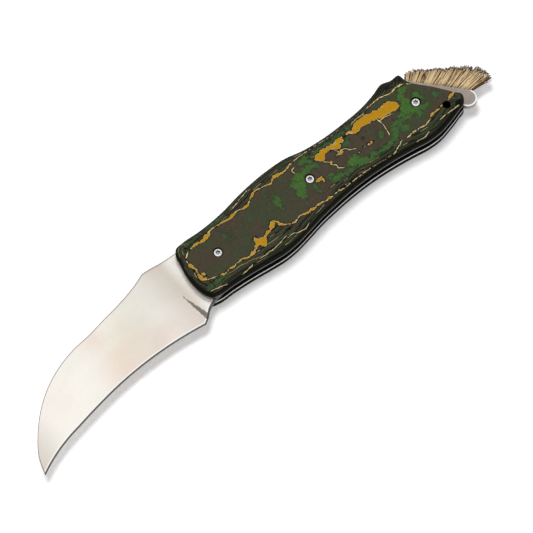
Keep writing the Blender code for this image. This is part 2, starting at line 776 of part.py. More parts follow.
for tube_name, outer, bore, spot in (
    ("pivot_barrel", pivot_radius, shank_radius + shank_clearance, pivot),
    ("lanyard_tube", lanyard_radius, lanyard_bore, lanyard_at),
):
    place(tube(tube_name, outer, bore, 2 * liner_face, spot, 0), parts, root, screw_steel)
for pin_name, radius, spot in (
    ("stop_pin", stop_pin_radius, stop_pin_at),
    ("brush_pin", brush_pin_radius, brush_pin_at),
    ("spring_front_pin", spring_pin_radius, spring_pins_at[0]),
    ("spring_rear_pin", spring_pin_radius, spring_pins_at[1]),
):
    place(pin(pin_name, radius, 2 * liner_face, spot, 0), parts, root, screw_steel)

set_on_ground()
print("least gap between bristles:", round(least_bristle_gap() * 1000, 3), "mm")
print("root at", [round(v, 6) for v in root.location])
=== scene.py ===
"""Folding mushroom knife: the looks of its pieces, made over the packed frame as a Blender add-on.

Places are in the knife's own frame: the blade's pivot is the origin, +X runs to the butt, +Y to the
spine and +Z up, with z = 0 halfway through the handle. Lengths are in metres. The laminate's lines and
patches and the places in the finishes are in millimetres.
"""

import json
import math
import random

import bmesh
import bpy
import numpy as np
from bpy.props import FloatProperty, FloatVectorProperty, IntProperty, PointerProperty
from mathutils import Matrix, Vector


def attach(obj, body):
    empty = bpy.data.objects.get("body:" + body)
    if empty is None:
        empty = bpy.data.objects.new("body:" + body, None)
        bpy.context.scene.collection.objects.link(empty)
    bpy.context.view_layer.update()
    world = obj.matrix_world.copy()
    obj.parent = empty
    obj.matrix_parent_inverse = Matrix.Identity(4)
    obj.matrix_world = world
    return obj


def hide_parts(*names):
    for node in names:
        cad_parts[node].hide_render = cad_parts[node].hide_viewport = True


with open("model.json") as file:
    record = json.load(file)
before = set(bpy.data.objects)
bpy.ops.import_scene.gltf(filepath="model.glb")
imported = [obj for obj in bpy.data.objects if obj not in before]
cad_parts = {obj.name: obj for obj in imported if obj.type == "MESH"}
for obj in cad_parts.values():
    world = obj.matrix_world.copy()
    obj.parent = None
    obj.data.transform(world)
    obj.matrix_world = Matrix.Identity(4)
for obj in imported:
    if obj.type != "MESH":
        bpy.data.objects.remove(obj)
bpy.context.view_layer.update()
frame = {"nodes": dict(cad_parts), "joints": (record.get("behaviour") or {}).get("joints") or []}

bl_info = {
    "name": "Mushroom knife",
    "version": (1, 0, 0),
    "blender": (4, 5, 0),
    "location": "View3D > Sidebar > Knife",
    "description": "Makes the scales, blade, brush, fittings and stage of a folding mushroom knife",
    "category": "Object",
}

# Sizes shared with the construction: the handle, its scales and its liners
handle_length = 0.1052
handle_width = 0.0246
liner_thickness = 0.0010
seat_gap = 0.0001
shoulder_height = 0.0023
side_shoulder = 0.0036
front_shoulder = 0.0026
butt_shoulder = 0.0011
rim_chamfer = 0.00012
scale_thickness = 0.0036

# The blade, its grind and its tang
blade_length = 0.0878
blade_width = 0.0256
blade_thickness = 0.0022
slot_width = 0.0028
spring_seat = -0.0070
grind_width = 0.0112
edge_half_thickness = 0.00003
bevel_width = 0.0006
bevel_half_thickness = 0.00019
grind_hollow = 0.00007
plunge_run = 0.0019
plunge_taper_share = 0.95
blade_closing_angle = math.radians(160.4)
spring_nose_share = 0.1757
spring_clearance = 0.0003
pivot_radius = 0.0025
pivot_clearance = 0.0001
stop_pin_radius = 0.0009
stop_slot_clearance = 0.00025
stop_slot_share = 0.727
stop_pin_angle = math.radians(60)
tang_flat_start = math.radians(-86)
tang_flat_end = math.radians(-55)

# The pins and the screws
spring_pin_radius = 0.0012
spring_pin_shares = ((0.400, 0.329), (0.499, 0.301))
head_radius = 0.00142
head_thickness = 0.0010
head_sink = 0.0003
head_clearance = 0.0002
shank_radius = 0.0009
shank_clearance = 0.0001
pivot_screw_tip = 0.0005
scale_screw_shares = ((0.3603, 0.0386), (0.7595, 0.0))

# The lanyard hole and the brush
lanyard_share = (0.8232, -0.2805)
lanyard_bore = 0.00125
lanyard_wall = 0.00055
brush_pin_share = (0.7833, 0.0813)
brush_pin_radius = 0.0014
brush_hub_radius = 0.0033
carrier_thickness = 0.0022
tab_share = (0.9002, -0.3049)
tab_radius = 0.0029
tab_end_angle = math.radians(-164)
notch_end_angle = math.radians(100)
hub_start_angle = math.radians(-75)
hub_end_angle = math.radians(-195)
brush_stop_gap = 0.0003
brush_line_start_share = (0.7880, 0.4146)
brush_line_end_share = (0.9221, -0.2480)
carrier_corner_shares = ((0.7766, 0.4228), (0.7671, 0.3171), (0.7560, 0.1829))
carrier_waist_share = (0.8100, -0.0750)
backing_depth = 0.0016
backing_height = 0.0011
backing_margin = 0.0006
bristle_length = 0.0105

# What only this script makes: broken rims, and the domed head and lobed socket of a screw. Also how
# many sides a turned piece has
liner_rim = 0.00014
carrier_rim = 0.00065
lobe_count = 6
lobe_share = 0.14
lobe_points = 72
dome_steps = 6
turn_steps = 48

# How the bristles lie, the tufts first and then the strands. The lean and the scatter are in degrees,
# and the others are shares
tuft_jitter = 0.3
tuft_pull = 0.35
tuft_lean = 1.5
tuft_cut = 0.025
strand_scatter = 2.4
strand_cut = 0.14
strand_sway = 0.018
strand_taper = 0.6
hook_start = 0.7
dark_strands = 0.25

# The seed of the bristles' random draws, and how many lengths each bristle is made of
brush_seed = 29
strand_steps = 6

# Half the height that the bristles' roots take up
root_half = 0.4 * backing_height

# Painted highlights: the white on the carrier's broken rim and on the blade beside the handle, and along
# the blade's sharpened edge
highlight_white = (1.0, 1.0, 0.98)
edge_highlight = (1.0, 0.99, 0.96)

# The stage: the camera's view, the key light, the floor's glow and the studio wall that bright metal
# sees, from the ground to overhead
lens_length = 1500
sensor_width = 36
view_turn = math.radians(-40.018)
view_rise = math.radians(65.0)
view_aim = Vector((0.0084, -0.0133, 0.0058))
key_direction = Vector((0.04, -0.17, -1.0))
key_angle = math.radians(20)
floor_lift = 0.30
studio_wall = ((0.0, 0.85), (0.30, 0.75), (0.45, 0.22), (0.62, 0.22), (0.86, 0.97), (1.0, 1.0))

# Heights from halfway through the handle
half_slot = slot_width / 2
liner_middle = half_slot + liner_thickness / 2
scale_seat = half_slot + liner_thickness + seat_gap
scale_face = scale_seat + scale_thickness
head_top = scale_face - head_sink
head_seat = head_top - head_thickness

# Outlines shared with the construction, as shares of the length and the width. The letters
# name the shoulder at a point of the handle: a side's, the front's or the butt's
handle_outline_shares = (
    (-0.0846, 0.3963, "S"), (-0.0570, 0.4126, "S"), (0.0, 0.4004, "S"), (0.0665, 0.4065, "S"),
    (0.1046, 0.4228, "S"), (0.1664, 0.4654, "S"), (0.2852, 0.5000, "S"), (0.3517, 0.4817, "S"),
    (0.4040, 0.4268, "S"), (0.4753, 0.3902, "S"), (0.5513, 0.3862, "S"), (0.6321, 0.4065, "S"),
    (0.6844, 0.4512, "S"), (0.7224, 0.4959, "S"), (0.7510, 0.4593, "S"), (0.7795, 0.4431, "B"),
    (0.7852, 0.3333, "B"), (0.8394, 0.0081, "B"), (0.8707, -0.1870, "B"), (0.8850, -0.2805, "B"),
    (0.8774, -0.3455, "B"), (0.8508, -0.3862, "S"), (0.8032, -0.4431, "S"), (0.7605, -0.4776, "S"),
    (0.7224, -0.4756, "S"), (0.6654, -0.4350, "S"), (0.5894, -0.3902, "S"), (0.5133, -0.3679, "S"),
    (0.4563, -0.3679, "S"), (0.3802, -0.3882, "S"), (0.3232, -0.4146, "S"), (0.2567, -0.4654, "S"),
    (0.2044, -0.5000, "S"), (0.1616, -0.5061, "S"), (0.1141, -0.4858, "S"), (0.0570, -0.4533, "S"),
    (-0.0190, -0.4248, "S"), (-0.0780, -0.4106, "F"), (-0.0960, -0.3862, "F"), (-0.1050, -0.3252, "F"),
    (-0.1131, -0.1951, "F"), (-0.1141, -0.0732, "F"), (-0.1093, 0.0894, "F"), (-0.1008, 0.2276, "F"),
    (-0.0932, 0.3496, "F"),
)
blade_spine_shares = (
    (-0.1093, 0.3926), (-0.1663, 0.4062), (-0.2255, 0.4336), (-0.2426, 0.4355), (-0.2688, 0.4043),
    (-0.3064, 0.3652), (-0.3827, 0.3086), (-0.4590, 0.2695), (-0.5342, 0.2266), (-0.6105, 0.2012),
    (-0.6868, 0.1406), (-0.7608, 0.0391), (-0.8371, -0.1250), (-0.9123, -0.3594), (-0.9715, -0.6250),
)
blade_tip_share = (-1.0, -0.8555)
blade_edge_shares = (
    (-0.9487, -0.7773), (-0.8918, -0.7070), (-0.8349, -0.6562), (-0.7779, -0.6211), (-0.7210, -0.5859),
    (-0.6640, -0.5547), (-0.6071, -0.5273), (-0.5501, -0.5078), (-0.4932, -0.4961), (-0.4362, -0.4922),
    (-0.3793, -0.4961), (-0.3223, -0.5078), (-0.2654, -0.5273),
)
blade_heel_share = (-0.1913, -0.5625)
blade_choil_shares = (
    (-0.1731, -0.5273), (-0.1583, -0.4844), (-0.1469, -0.4512), (-0.1276, -0.4180), (-0.0979, -0.3867),
    (-0.0729, -0.3848), (-0.0490, -0.3555),
)
plunge_foot_share = (-0.1754, -0.5735)
plunge_top_share = (-0.1913, -0.0781)

# The fan of the bristles: share along the brush line, direction in degrees, share of the length
bristle_fan_shares = (
    (0.00, 54, 0.24), (0.03, 42, 0.34), (0.08, 33, 0.46), (0.20, 25, 0.51), (0.35, 21, 0.63),
    (0.50, 18, 0.72), (0.65, 16, 0.83), (0.75, 13, 0.94), (0.85, 7, 1.00), (0.93, 2, 0.99),
    (0.97, -2, 0.95), (1.00, -6, 0.87),
)

# The yellow layer where the shoulder cuts it: millimetres from the pivot, and half the line's width
yellow_contour = (
    (-9.4, 3.6, 0.15), (-9.2, 4.6, 0.12), (-8.2, 5.3, 0.15), (-7.2, 5.9, 0.15), (-6.2, 6.4, 0.15),
    (-5.0, 6.35, 0.25), (-4.0, 6.5, 0.5), (-3.0, 6.5, 0.5), (-2.0, 6.15, 0.35), (-1.0, 5.95, 0.4),
    (0.0, 6.25, 0.65), (1.0, 6.4, 0.75), (1.6, 6.3, 0.6), (1.9, 6.9, 0.2), (3.0, 7.35, 0.2),
    (4.0, 7.2, 0.22), (6.0, 7.15, 0.25), (8.0, 6.75, 0.25), (9.0, 6.55, 0.4), (10.0, 6.4, 0.5),
    (11.0, 6.6, 0.5), (12.0, 6.7, 0.35), (13.0, 7.05, 0.15), (14.0, 6.85, 0.2), (15.0, 6.45, 0.25),
    (16.0, 6.2, 0.4), (17.0, 6.45, 0.4), (18.0, 6.75, 0.25), (19.0, 7.3, 0.12), (20.0, 8.0, 0.45),
    (21.0, 8.3, 0.35), (22.0, 8.8, 0.25), (23.0, 8.6, 0.25), (24.0, 8.3, 0.22), (25.5, 7.95, 0.2),
    (27.0, 7.6, 0.25), (27.6, 7.4, 0.3), (28.4, 7.9, 0.25), (29.0, 8.35, 0.4), (30.0, 8.45, 0.6),
    (31.0, 8.2, 0.5), (32.0, 8.05, 0.45), (33.0, 7.95, 0.25), (34.5, 8.1, 0.12), (35.3, 8.5, 0.3),
    (36.3, 8.6, 0.3), (37.5, 8.75, 0.12), (40.0, 8.95, 0.12), (43.0, 8.8, 0.1), (46.0, 8.75, 0.12),
    (49.0, 8.4, 0.1), (52.0, 8.15, 0.05), (56.0, 8.1, 0.0), (60.0, 8.3, 0.0), (66.0, 8.3, 0.0),
    (68.0, 8.2, 0.12), (70.0, 8.35, 0.14), (72.0, 8.25, 0.15), (73.5, 8.0, 0.17), (74.6, 7.6, 0.2),
    (75.6, 7.25, 0.2), (77.0, 7.35, 0.2), (78.0, 7.7, 0.18), (80.0, 7.5, 0.15), (81.2, 7.0, 0.12),
    (83.5, 5.0, 0.0), (87.0, 1.0, 0.0), (90.8, -3.6, 0.0), (91.2, -5.0, 0.2), (90.2, -5.3, 0.6),
    (89.0, -5.6, 0.35), (87.8, -6.2, 0.1), (86.6, -6.4, 0.0), (85.6, -6.1, 0.25), (84.0, -6.4, 0.3),
    (82.0, -6.5, 0.4), (80.6, -6.65, 0.35), (79.4, -7.4, 0.0), (79.0, -7.6, 0.2), (77.6, -7.95, 0.2),
    (76.2, -8.1, 0.2), (75.0, -7.6, 0.15), (73.0, -7.5, 0.2), (71.0, -7.75, 0.2), (70.0, -7.7, 0.1),
    (69.0, -7.6, 0.0), (68.0, -7.5, 0.12), (66.4, -8.1, 0.15), (64.0, -9.0, 0.1), (60.0, -8.6, 0.0),
    (55.0, -8.1, 0.06), (50.0, -8.0, 0.1), (46.0, -8.1, 0.1), (43.0, -8.1, 0.14), (42.0, -7.7, 0.3),
    (40.6, -7.9, 0.06), (39.0, -8.1, 0.2), (38.2, -7.85, 0.35), (37.0, -8.0, 0.1), (36.0, -7.7, 0.12),
    (35.0, -7.6, 0.3), (34.0, -7.5, 0.4), (33.0, -7.6, 0.4), (32.0, -7.65, 0.3), (31.2, -7.35, 0.4),
    (30.0, -7.55, 0.4), (29.0, -7.3, 0.4), (28.0, -6.85, 0.25), (27.0, -6.7, 0.2), (26.0, -7.05, 0.14),
    (25.0, -7.45, 0.2), (24.0, -7.2, 0.25), (23.0, -6.8, 0.35), (22.2, -6.4, 0.15), (21.4, -5.7, 0.3),
    (20.8, -4.9, 0.5), (21.0, -4.2, 0.25), (20.3, -3.3, 0.3), (19.6, -2.9, 0.5), (18.8, -3.7, 0.7),
    (17.6, -4.4, 0.5), (16.8, -4.8, 0.35), (16.0, -4.7, 0.5), (15.0, -5.2, 0.45), (14.3, -5.4, 0.5),
    (13.2, -5.8, 0.9), (12.0, -5.6, 0.9), (10.8, -5.9, 0.5), (10.0, -6.5, 0.35), (9.0, -7.0, 0.5),
    (8.0, -7.15, 0.5), (7.0, -7.45, 0.25), (6.0, -7.3, 0.25), (5.0, -6.9, 0.4), (4.0, -6.7, 0.4),
    (3.0, -6.75, 0.2), (2.0, -6.6, 0.0), (1.3, -7.0, 0.2), (0.0, -6.85, 0.3), (-1.0, -6.75, 0.3),
    (-2.0, -6.9, 0.25), (-3.0, -7.1, 0.3), (-4.0, -6.65, 0.4), (-4.8, -6.3, 0.15), (-5.6, -6.1, 0.0),
    (-6.6, -5.8, 0.3), (-7.2, -5.6, 0.1), (-7.8, -5.4, 0.3), (-8.5, -5.1, 0.2), (-9.2, -4.6, 0.4),
    (-9.6, -3.6, 0.6), (-9.7, -2.5, 0.5), (-9.3, -1.2, 0.2), (-9.0, -0.5, 0.3), (-9.2, 0.6, 0.35),
    (-9.3, 1.5, 0.6), (-9.5, 2.4, 0.5), (-9.5, 3.2, 0.15),
)

# Thin pale veins, as runs of (x, y) in millimetres
pale_veins = (
    ((-9.6, -8.7), (-8.0, -9.15), (-6.0, -9.5), (-4.6, -9.9)),
    ((1.6, -10.2), (2.8, -10.25), (5.4, -10.1)),
    ((9.0, -9.9), (11.0, -10.15), (12.7, -10.0)),
    ((13.2, -10.25), (15.0, -10.1), (17.0, -9.9), (18.5, -9.5), (20.0, -9.25)),
    ((21.0, -10.0), (22.2, -10.05), (23.0, -10.6), (25.0, -10.85), (26.5, -10.9), (28.0, -10.3)),
    ((13.0, 8.6), (15.3, 9.15)),
    ((16.2, 9.6), (18.0, 9.9), (20.5, 10.5)),
    ((45.0, 2.4), (46.3, 1.1), (46.0, 0.2), (47.2, -0.7), (47.0, -1.9), (48.3, -2.9)),
    ((49.6, 1.7), (50.6, 1.5), (51.4, 2.2), (53.0, 1.7), (53.8, 0.4), (55.3, -0.3)),
    ((50.0, 3.6), (50.6, 2.4), (51.2, 1.9)),
    ((66.9, 3.0), (66.9, 1.9), (67.2, 0.8), (66.9, -1.0), (66.5, -3.2)),
    ((67.2, 2.2), (69.0, 2.2), (71.5, 1.6)),
    ((35.4, 5.5), (35.2, 6.6), (36.3, 7.0)),
    ((65.0, 7.4), (62.0, 7.4), (59.8, 7.1)),
    ((82.0, -9.4), (84.0, -9.2)),
    ((85.2, -9.3), (87.0, -9.2), (89.6, -9.0)),
    ((71.8, -10.3), (73.5, -10.6), (74.8, -10.8), (76.3, -10.4)),
)

# Patches of the orange layer: centre and half sizes in millimetres
orange_patches = (
    (45.0, 3.9, 1.1, 0.9), (45.2, 5.0, 1.9, 1.0), (47.5, 5.3, 1.8, 0.9), (50.0, 4.9, 1.6, 0.8),
    (51.2, 4.0, 1.2, 0.9), (53.2, 4.9, 1.5, 0.8), (57.2, 5.3, 1.0, 0.5), (59.5, 4.7, 1.6, 1.1),
    (61.5, 5.6, 1.8, 1.2), (64.0, 5.2, 2.4, 1.5), (67.0, 4.7, 2.2, 1.5), (69.5, 3.9, 2.4, 1.6),
    (72.0, 4.0, 2.4, 1.9), (74.0, 3.1, 1.3, 1.6), (39.8, -1.2, 0.9, 0.55), (40.7, -1.8, 0.5, 0.8),
    (11.6, -4.8, 0.75, 1.3), (12.8, -6.6, 1.2, 1.4), (19.1, -3.4, 0.8, 0.9), (-8.3, -2.8, 0.35, 0.4),
    (-8.7, -4.4, 0.6, 0.35), (50.8, 1.6, 1.1, 0.35), (59.2, -1.7, 0.45, 0.5), (60.6, -1.9, 0.5, 0.3),
    (46.4, 0.9, 0.35, 0.45), (55.6, -2.0, 0.3, 0.3), (57.8, -1.5, 0.25, 0.2), (59.5, 1.0, 0.25, 0.3),
)

# Patches of the green layer: centre and half sizes in millimetres, and how bright they are
green_patches = (
    (35.4, 3.4, 1.5, 1.3, 1.0), (34.0, 1.4, 1.7, 1.6, 0.9), (32.5, 2.4, 0.9, 1.0, 0.6),
    (32.9, -1.0, 1.5, 1.5, 0.8), (32.6, -2.6, 0.7, 0.9, 0.7), (37.6, 3.6, 1.3, 0.7, 0.8),
    (39.8, 4.3, 1.3, 0.7, 0.6), (41.5, 5.4, 0.9, 0.8, 0.5), (40.0, 7.0, 1.6, 0.8, 0.45),
    (42.0, 3.2, 0.8, 0.7, 0.4), (37.6, -2.8, 0.25, 0.9, 0.25), (24.7, 0.7, 0.5, 1.0, 0.6),
    (25.7, 2.3, 0.4, 1.0, 0.5), (43.6, -2.5, 1.2, 0.6, 0.4), (44.6, -4.2, 1.6, 0.9, 0.5),
    (47.0, -4.9, 1.4, 0.5, 0.35), (50.0, -5.0, 1.2, 0.6, 0.5), (52.2, -3.3, 2.0, 1.6, 1.0),
    (53.7, -4.6, 1.6, 1.1, 0.9), (55.2, -5.7, 1.1, 0.6, 0.7), (58.6, -5.7, 1.2, 0.7, 0.5),
    (62.2, -6.3, 1.0, 0.5, 0.5), (64.6, -5.9, 1.0, 0.5, 0.6), (66.4, -5.5, 0.7, 0.5, 0.65),
    (67.9, -3.8, 0.4, 1.0, 0.7), (69.2, -1.6, 0.8, 0.6, 0.75), (71.0, -1.4, 1.0, 0.6, 0.6),
    (70.8, -2.4, 0.7, 0.8, 0.5), (71.8, -4.7, 1.2, 0.9, 0.5), (64.4, -1.5, 0.9, 0.9, 0.25),
    (54.0, 2.9, 1.0, 0.7, 0.1), (79.2, 5.6, 1.4, 1.1, 0.8), (77.3, 4.2, 0.9, 1.0, 0.9),
    (77.4, 2.4, 1.2, 1.4, 1.0), (76.0, 0.0, 1.7, 1.9, 1.0), (74.0, -0.6, 1.2, 0.7, 0.8),
    (77.8, -1.8, 1.5, 1.0, 0.9), (78.6, -3.5, 0.9, 1.1, 0.6), (80.4, -2.7, 1.5, 0.8, 0.7),
    (81.3, 1.6, 0.9, 1.3, 0.7), (81.8, 0.4, 0.7, 0.9, 0.6), (86.2, -2.0, 0.8, 0.9, 0.3),
    (47.0, 6.7, 2.6, 0.3, 0.3), (53.5, 6.6, 2.8, 0.3, 0.35), (58.3, 6.7, 1.8, 0.4, 0.4),
    (5.0, 3.0, 0.3, 0.9, 0.0), (7.2, 2.6, 0.2, 0.6, 0.0), (-7.2, -7.6, 2.2, 0.3, 0.0),
    (5.0, 8.5, 2.4, 0.2, 0.0), (-3.0, 8.2, 1.6, 0.2, 0.0), (23.3, 5.0, 0.6, 0.5, 0.2),
)

# The winding run of the green layer past the middle of the handle, and half its width
green_run = (
    (76.2, -2.6), (73.2, -2.2), (70.4, -1.6), (69.3, -3.0), (68.6, -4.6),
    (66.6, -5.6), (64.6, -6.0), (61.6, -6.1), (58.6, -6.0), (56.4, -6.0),
)
green_run_half = 0.35

# The pivot, in the knife's own frame and in the packed one
pivot = Vector((0, 0))
hinge = Vector(next(joint for joint in frame["joints"] if joint["child"] == "blade")["pos_m"])

# Millimetres in a metre, the smallest length that counts, and the outline's width against the solids'
to_mm = 1000
tiny = 0.000005
fit_share = 0.999


def tint(code):
    """A colour written as six sRGB hex digits, in linear values."""
    shares = [int(code[i : i + 2], 16) / 255 for i in (0, 2, 4)]
    return tuple(c / 12.92 if c <= 0.04045 else ((c + 0.055) / 1.055) ** 2.4 for c in shares)


def dimmed(colour_, part):
    """A colour taken down to a part of its light."""
    return tuple(c * part for c in colour_)


def number(name, text, value, least):
    """A setting for how many of a thing there are."""
    return IntProperty(name=name, description=text, default=value, min=least)


def length(name, text, value):
    """A setting for a length."""
    return FloatProperty(name=name, description=text, default=value, min=0, unit="LENGTH", precision=5)


def share(name, text, value):
    """A setting between zero and one."""
    return FloatProperty(name=name, description=text, default=value, min=0, max=1, subtype="FACTOR")


def strength(name, text, value):
    """A setting for the strength of a light."""
    return FloatProperty(name=name, description=text, default=value, min=0)


def colour(name, text, code):
    """A setting for a colour."""
    return FloatVectorProperty(
        name=name, description=text, default=tint(code), min=0, max=1, size=3, subtype="COLOR"
    )


class KnifeScaleSettings(bpy.types.PropertyGroup):
    """The laminate scales."""

    outline_steps: number("Outline steps", "Points between two outline points", 10, 2)
    shoulder_steps: number("Shoulder steps", "Rings round the shoulder", 12, 3)
    cell: length("Cell", "Side of the small cells that the flat is cut into", 0.0004)
    hole_bevel: length("Hole bevel", "Width of the broken edge of each hole", 0.00008)
    brown: colour("Brown layer", "The brown ground of the laminate", "473f33")
    olive: colour("Olive layer", "The olive ground of the laminate", "3f4431")
    orange: colour("Orange layer", "The thick orange layer", "b78719")
    cream: colour("Cream vein", "The thin pale veins", "d2c291")
    green: colour("Green layer", "The bright green layer", "466b31")
    moss: colour("Moss layer", "The dull green layer", "3b5638")
    sage: colour("Sage layer", "The thin grey-green layers of the shoulder", "5d6c50")
    # The dark colour also serves as painted shade on the sides, the butt end and in the lanyard hole
    dark: colour("Dark layer", "The darkest layers, at the sides", "0b0c07")
    roughness: share("Roughness", "Roughness of the satin laminate", 0.45)


class KnifeBladeSettings(bpy.types.PropertyGroup):
    """The blade."""

    slice_length: length("Slice", "Length of a slice of the blade", 0.0004)
    row_count: number("Rows", "Rows of points across the blade", 40, 12)
    rim: length("Rim", "Width of the broken edge along the spine", 0.00016)
    steel: colour("Steel", "The satin steel of the blade", "fffff8")
    # Painted reflection: the warm tone and the rose, straw and leaf tints; the cool tone is partly the
    # steel's own, partly painted reflection
    warm: colour("Warm tone", "The warm tone that the grind takes", "f8e4d9")
    cool: colour("Cool tone", "The cool tone near the tang and the tip", "d8ccc2")
    # The dull tone is the darker grey painted on the plunge facet
    dull: colour("Coarse tone", "The coarse-ground plunge behind the grind", "6f6762")
    rose: colour("Rose tint", "The faint rose of some of the grind", "f6dfe0")
    straw: colour("Straw tint", "The faint straw of some of the grind", "f2efcf")
    leaf: colour("Leaf tint", "The faint green of some of the grind", "dfe6da")
    roughness: share("Roughness", "Roughness of the satin steel", 0.22)


class KnifeSteelSettings(bpy.types.PropertyGroup):
    """The liners, spring, pins, screws and washers."""

    liner: colour("Liner steel", "The brushed steel of the liners and the spring", "e6e5e2")
    carrier: colour("Carrier steel", "The greyer steel of the brush carrier", "a89c92")
    bright: colour("Bright steel", "The screws and pins", "f6f6f4")
    bronze: colour("Bronze", "The washers", "c08a4a")
    # Painted shade: the dark painted in the liners' slot and on their outer rims, in the screws' sockets
    # and over the lanyard tube
    painted_shade: colour("Shade", "The dark shadowed faces inside the slot and the sockets", "1c1b19")
    socket_radius: length("Socket radius", "Radius of a screw's six-lobed socket", 0.00088)
    socket_depth: length("Socket depth", "Depth of a screw's socket", 0.0007)
    head_round: length("Head rounding", "Radius of a screw head's rim", 0.0003)


class KnifeBrushSettings(bpy.types.PropertyGroup):
    """The brush."""

    strand_count: number("Bristles", "Number of bristles", 1100, 50)
    tuft_count: number("Tufts", "Number of tufts along the line", 26, 2)
    strand_radius: length("Bristle radius", "Radius of a bristle at its root", 0.00016)
    spread: length("Spread", "Half the thickness of the brush at its tips", 0.0009)
    hook: length("Hook", "How far the tips curl to a side", 0.0003)
    fair: colour("Fair bristle", "The fairest bristles", "ead1a6")
    dark: colour("Dark bristle", "The darkest bristles", "6a4a2c")
    tip: colour("Tip", "The tips of the bristles", "34362e")


class KnifeStageSettings(bpy.types.PropertyGroup):
    """The stage."""

    floor_size: length("Floor size", "Side of the floor", 6.0)
    paper: colour("Paper", "The floor", "f4f4f4")
    sky_strength: strength("Sky", "Strength of the soft light all round", 0.36)
    key_strength: strength("Key", "Strength of the key light", 2.05)
    view_width: length("View width", "Width of what the camera sees", 0.1645)


class Level:
    """A number that a node gives. Signs of arithmetic between such numbers make more nodes."""

    def __init__(self, nodes, socket):
        self.nodes = nodes
        self.socket = socket

    def __add__(self, other):
        return self.nodes.math("ADD", self, other)

    def __sub__(self, other):
        return self.nodes.math("SUBTRACT", self, other)

    def __rsub__(self, other):
        return self.nodes.math("SUBTRACT", other, self)

    def __mul__(self, other):
        return self.nodes.math("MULTIPLY", self, other)

    def __abs__(self):
        return self.nodes.math("ABSOLUTE", self)


class Nodes:
    """A node tree, with short calls for the nodes that the finishes and the sky use."""

    def __init__(self, tree):
        self.tree = tree

    def put(self, socket, value):
        """Links a node's output to a socket, or sets the socket to a number or a colour."""
        value = value.socket if isinstance(value, Level) else value
        if isinstance(value, bpy.types.NodeSocket):
            self.tree.links.new(value, socket)
        elif socket.type == "RGBA":
            socket.default_value = (*value, 1)
        else:
            socket.default_value = value

    def add(self, kind, inputs, **settings):
        """A new node, with its settings and inputs."""
        made = self.tree.nodes.new("ShaderNode" + kind)
        for key, value in settings.items():
            setattr(made, key, value)
        for key, value in inputs.items():
            self.put(made.inputs[key], value)
        return made

    def math(self, operation, *values, clamp=False):
        made = self.add("Math", dict(enumerate(values)), operation=operation, use_clamp=clamp)
        return Level(self, made.outputs[0])

    def most(self, first, second):
        return self.math("MAXIMUM", first, second)

    def least(self, first, second):
        return self.math("MINIMUM", first, second)

    def parts(self, vector):
        """A vector's x, y and z."""
        return [Level(self, socket) for socket in self.add("SeparateXYZ", {0: vector}).outputs]

    def noise(self, vector, scale, detail, roughness, seed):
        inputs = {"Vector": vector, "W": seed, "Scale": scale, "Detail": detail, "Roughness": roughness}
        return Level(self, self.add("TexNoise", inputs, noise_dimensions="4D").outputs[0])

    def wobble(self, vector, scale, size, detail, seed):
        """Noise about zero, up to a size each way."""
        return (self.noise(vector, scale, detail, 0.5, seed) - 0.5) * (2 * size)

    def ramp(self, factor, low, high, first=0.0, last=1.0):
        """A smooth step from a first to a last value, between a low and a high place."""
        inputs = {"Value": factor, "From Min": low, "From Max": high, "To Min": first, "To Max": last}
        return Level(self, self.add("MapRange", inputs, interpolation_type="SMOOTHSTEP").outputs[0])

    def mix(self, factor, first, second, blend="MIX"):
        """Two colours mixed by a factor."""
        inputs = {0: factor, 6: first, 7: second}
        return self.add("Mix", inputs, data_type="RGBA", blend_type=blend).outputs[2]

    def tone(self, colour_, factor, low, high):
        """A colour made darker and lighter by a noise."""
        gain = self.ramp(factor, 0.3, 0.7, low, high)
        grey = self.add("CombineColor", {0: gain, 1: gain, 2: gain}).outputs[0]
        return self.mix(1.0, colour_, grey, "MULTIPLY")

    def choose(self, factor, first, second):
        """Two shaders mixed by a factor."""
        return self.add("MixShader", {0: factor, 1: first, 2: second}).outputs[0]


class Finish(Nodes):
    """A material and its shader."""

    def __init__(self, name):
        self.material = bpy.data.materials.new(name)
        self.material.use_nodes = True
        super().__init__(self.material.node_tree)
        self.shader = self.tree.nodes["Principled BSDF"]

    def set(self, **values):
        """Sets the shader's own sockets, with _ for the space in their names."""
        for key, value in values.items():
            self.put(self.shader.inputs[key.replace("_", " ")], value)

    def scaled(self, scale=(1, 1, 1), move=(0, 0, 0)):
        """The piece's own coordinates in millimetres, scaled."""
        place = self.add("TexCoord", {}).outputs["Object"]
        inputs = {"Vector": place, "Scale": [to_mm * s for s in scale], "Location": move}
        return self.add("Mapping", inputs).outputs[0]

    def value(self, name):
        """A value kept on the mesh's points."""
        return Level(self, self.add("Attribute", {}, attribute_name=name).outputs["Fac"])

    def bump(self, height, distance, part):
        """The normal over a relief of a given depth, of which a part shows."""
        return self.add("Bump", {"Height": height, "Distance": distance, "Strength": part}).outputs[0]


def at_handle(place):
    """A place given in shares of the handle's length and width."""
    return Vector((place[0] * handle_length, place[1] * handle_width))


def at_blade(place):
    """A place given in shares of the blade's length and width."""
    return Vector((place[0] * blade_length, place[1] * blade_width))


def at_turn(turn, radius=1.0):
    """A place round the origin."""
    return Vector((math.cos(turn), math.sin(turn))) * radius


def left_of(direction):
    """The direction a quarter turn to the left."""
    return Vector((-direction.y, direction.x))


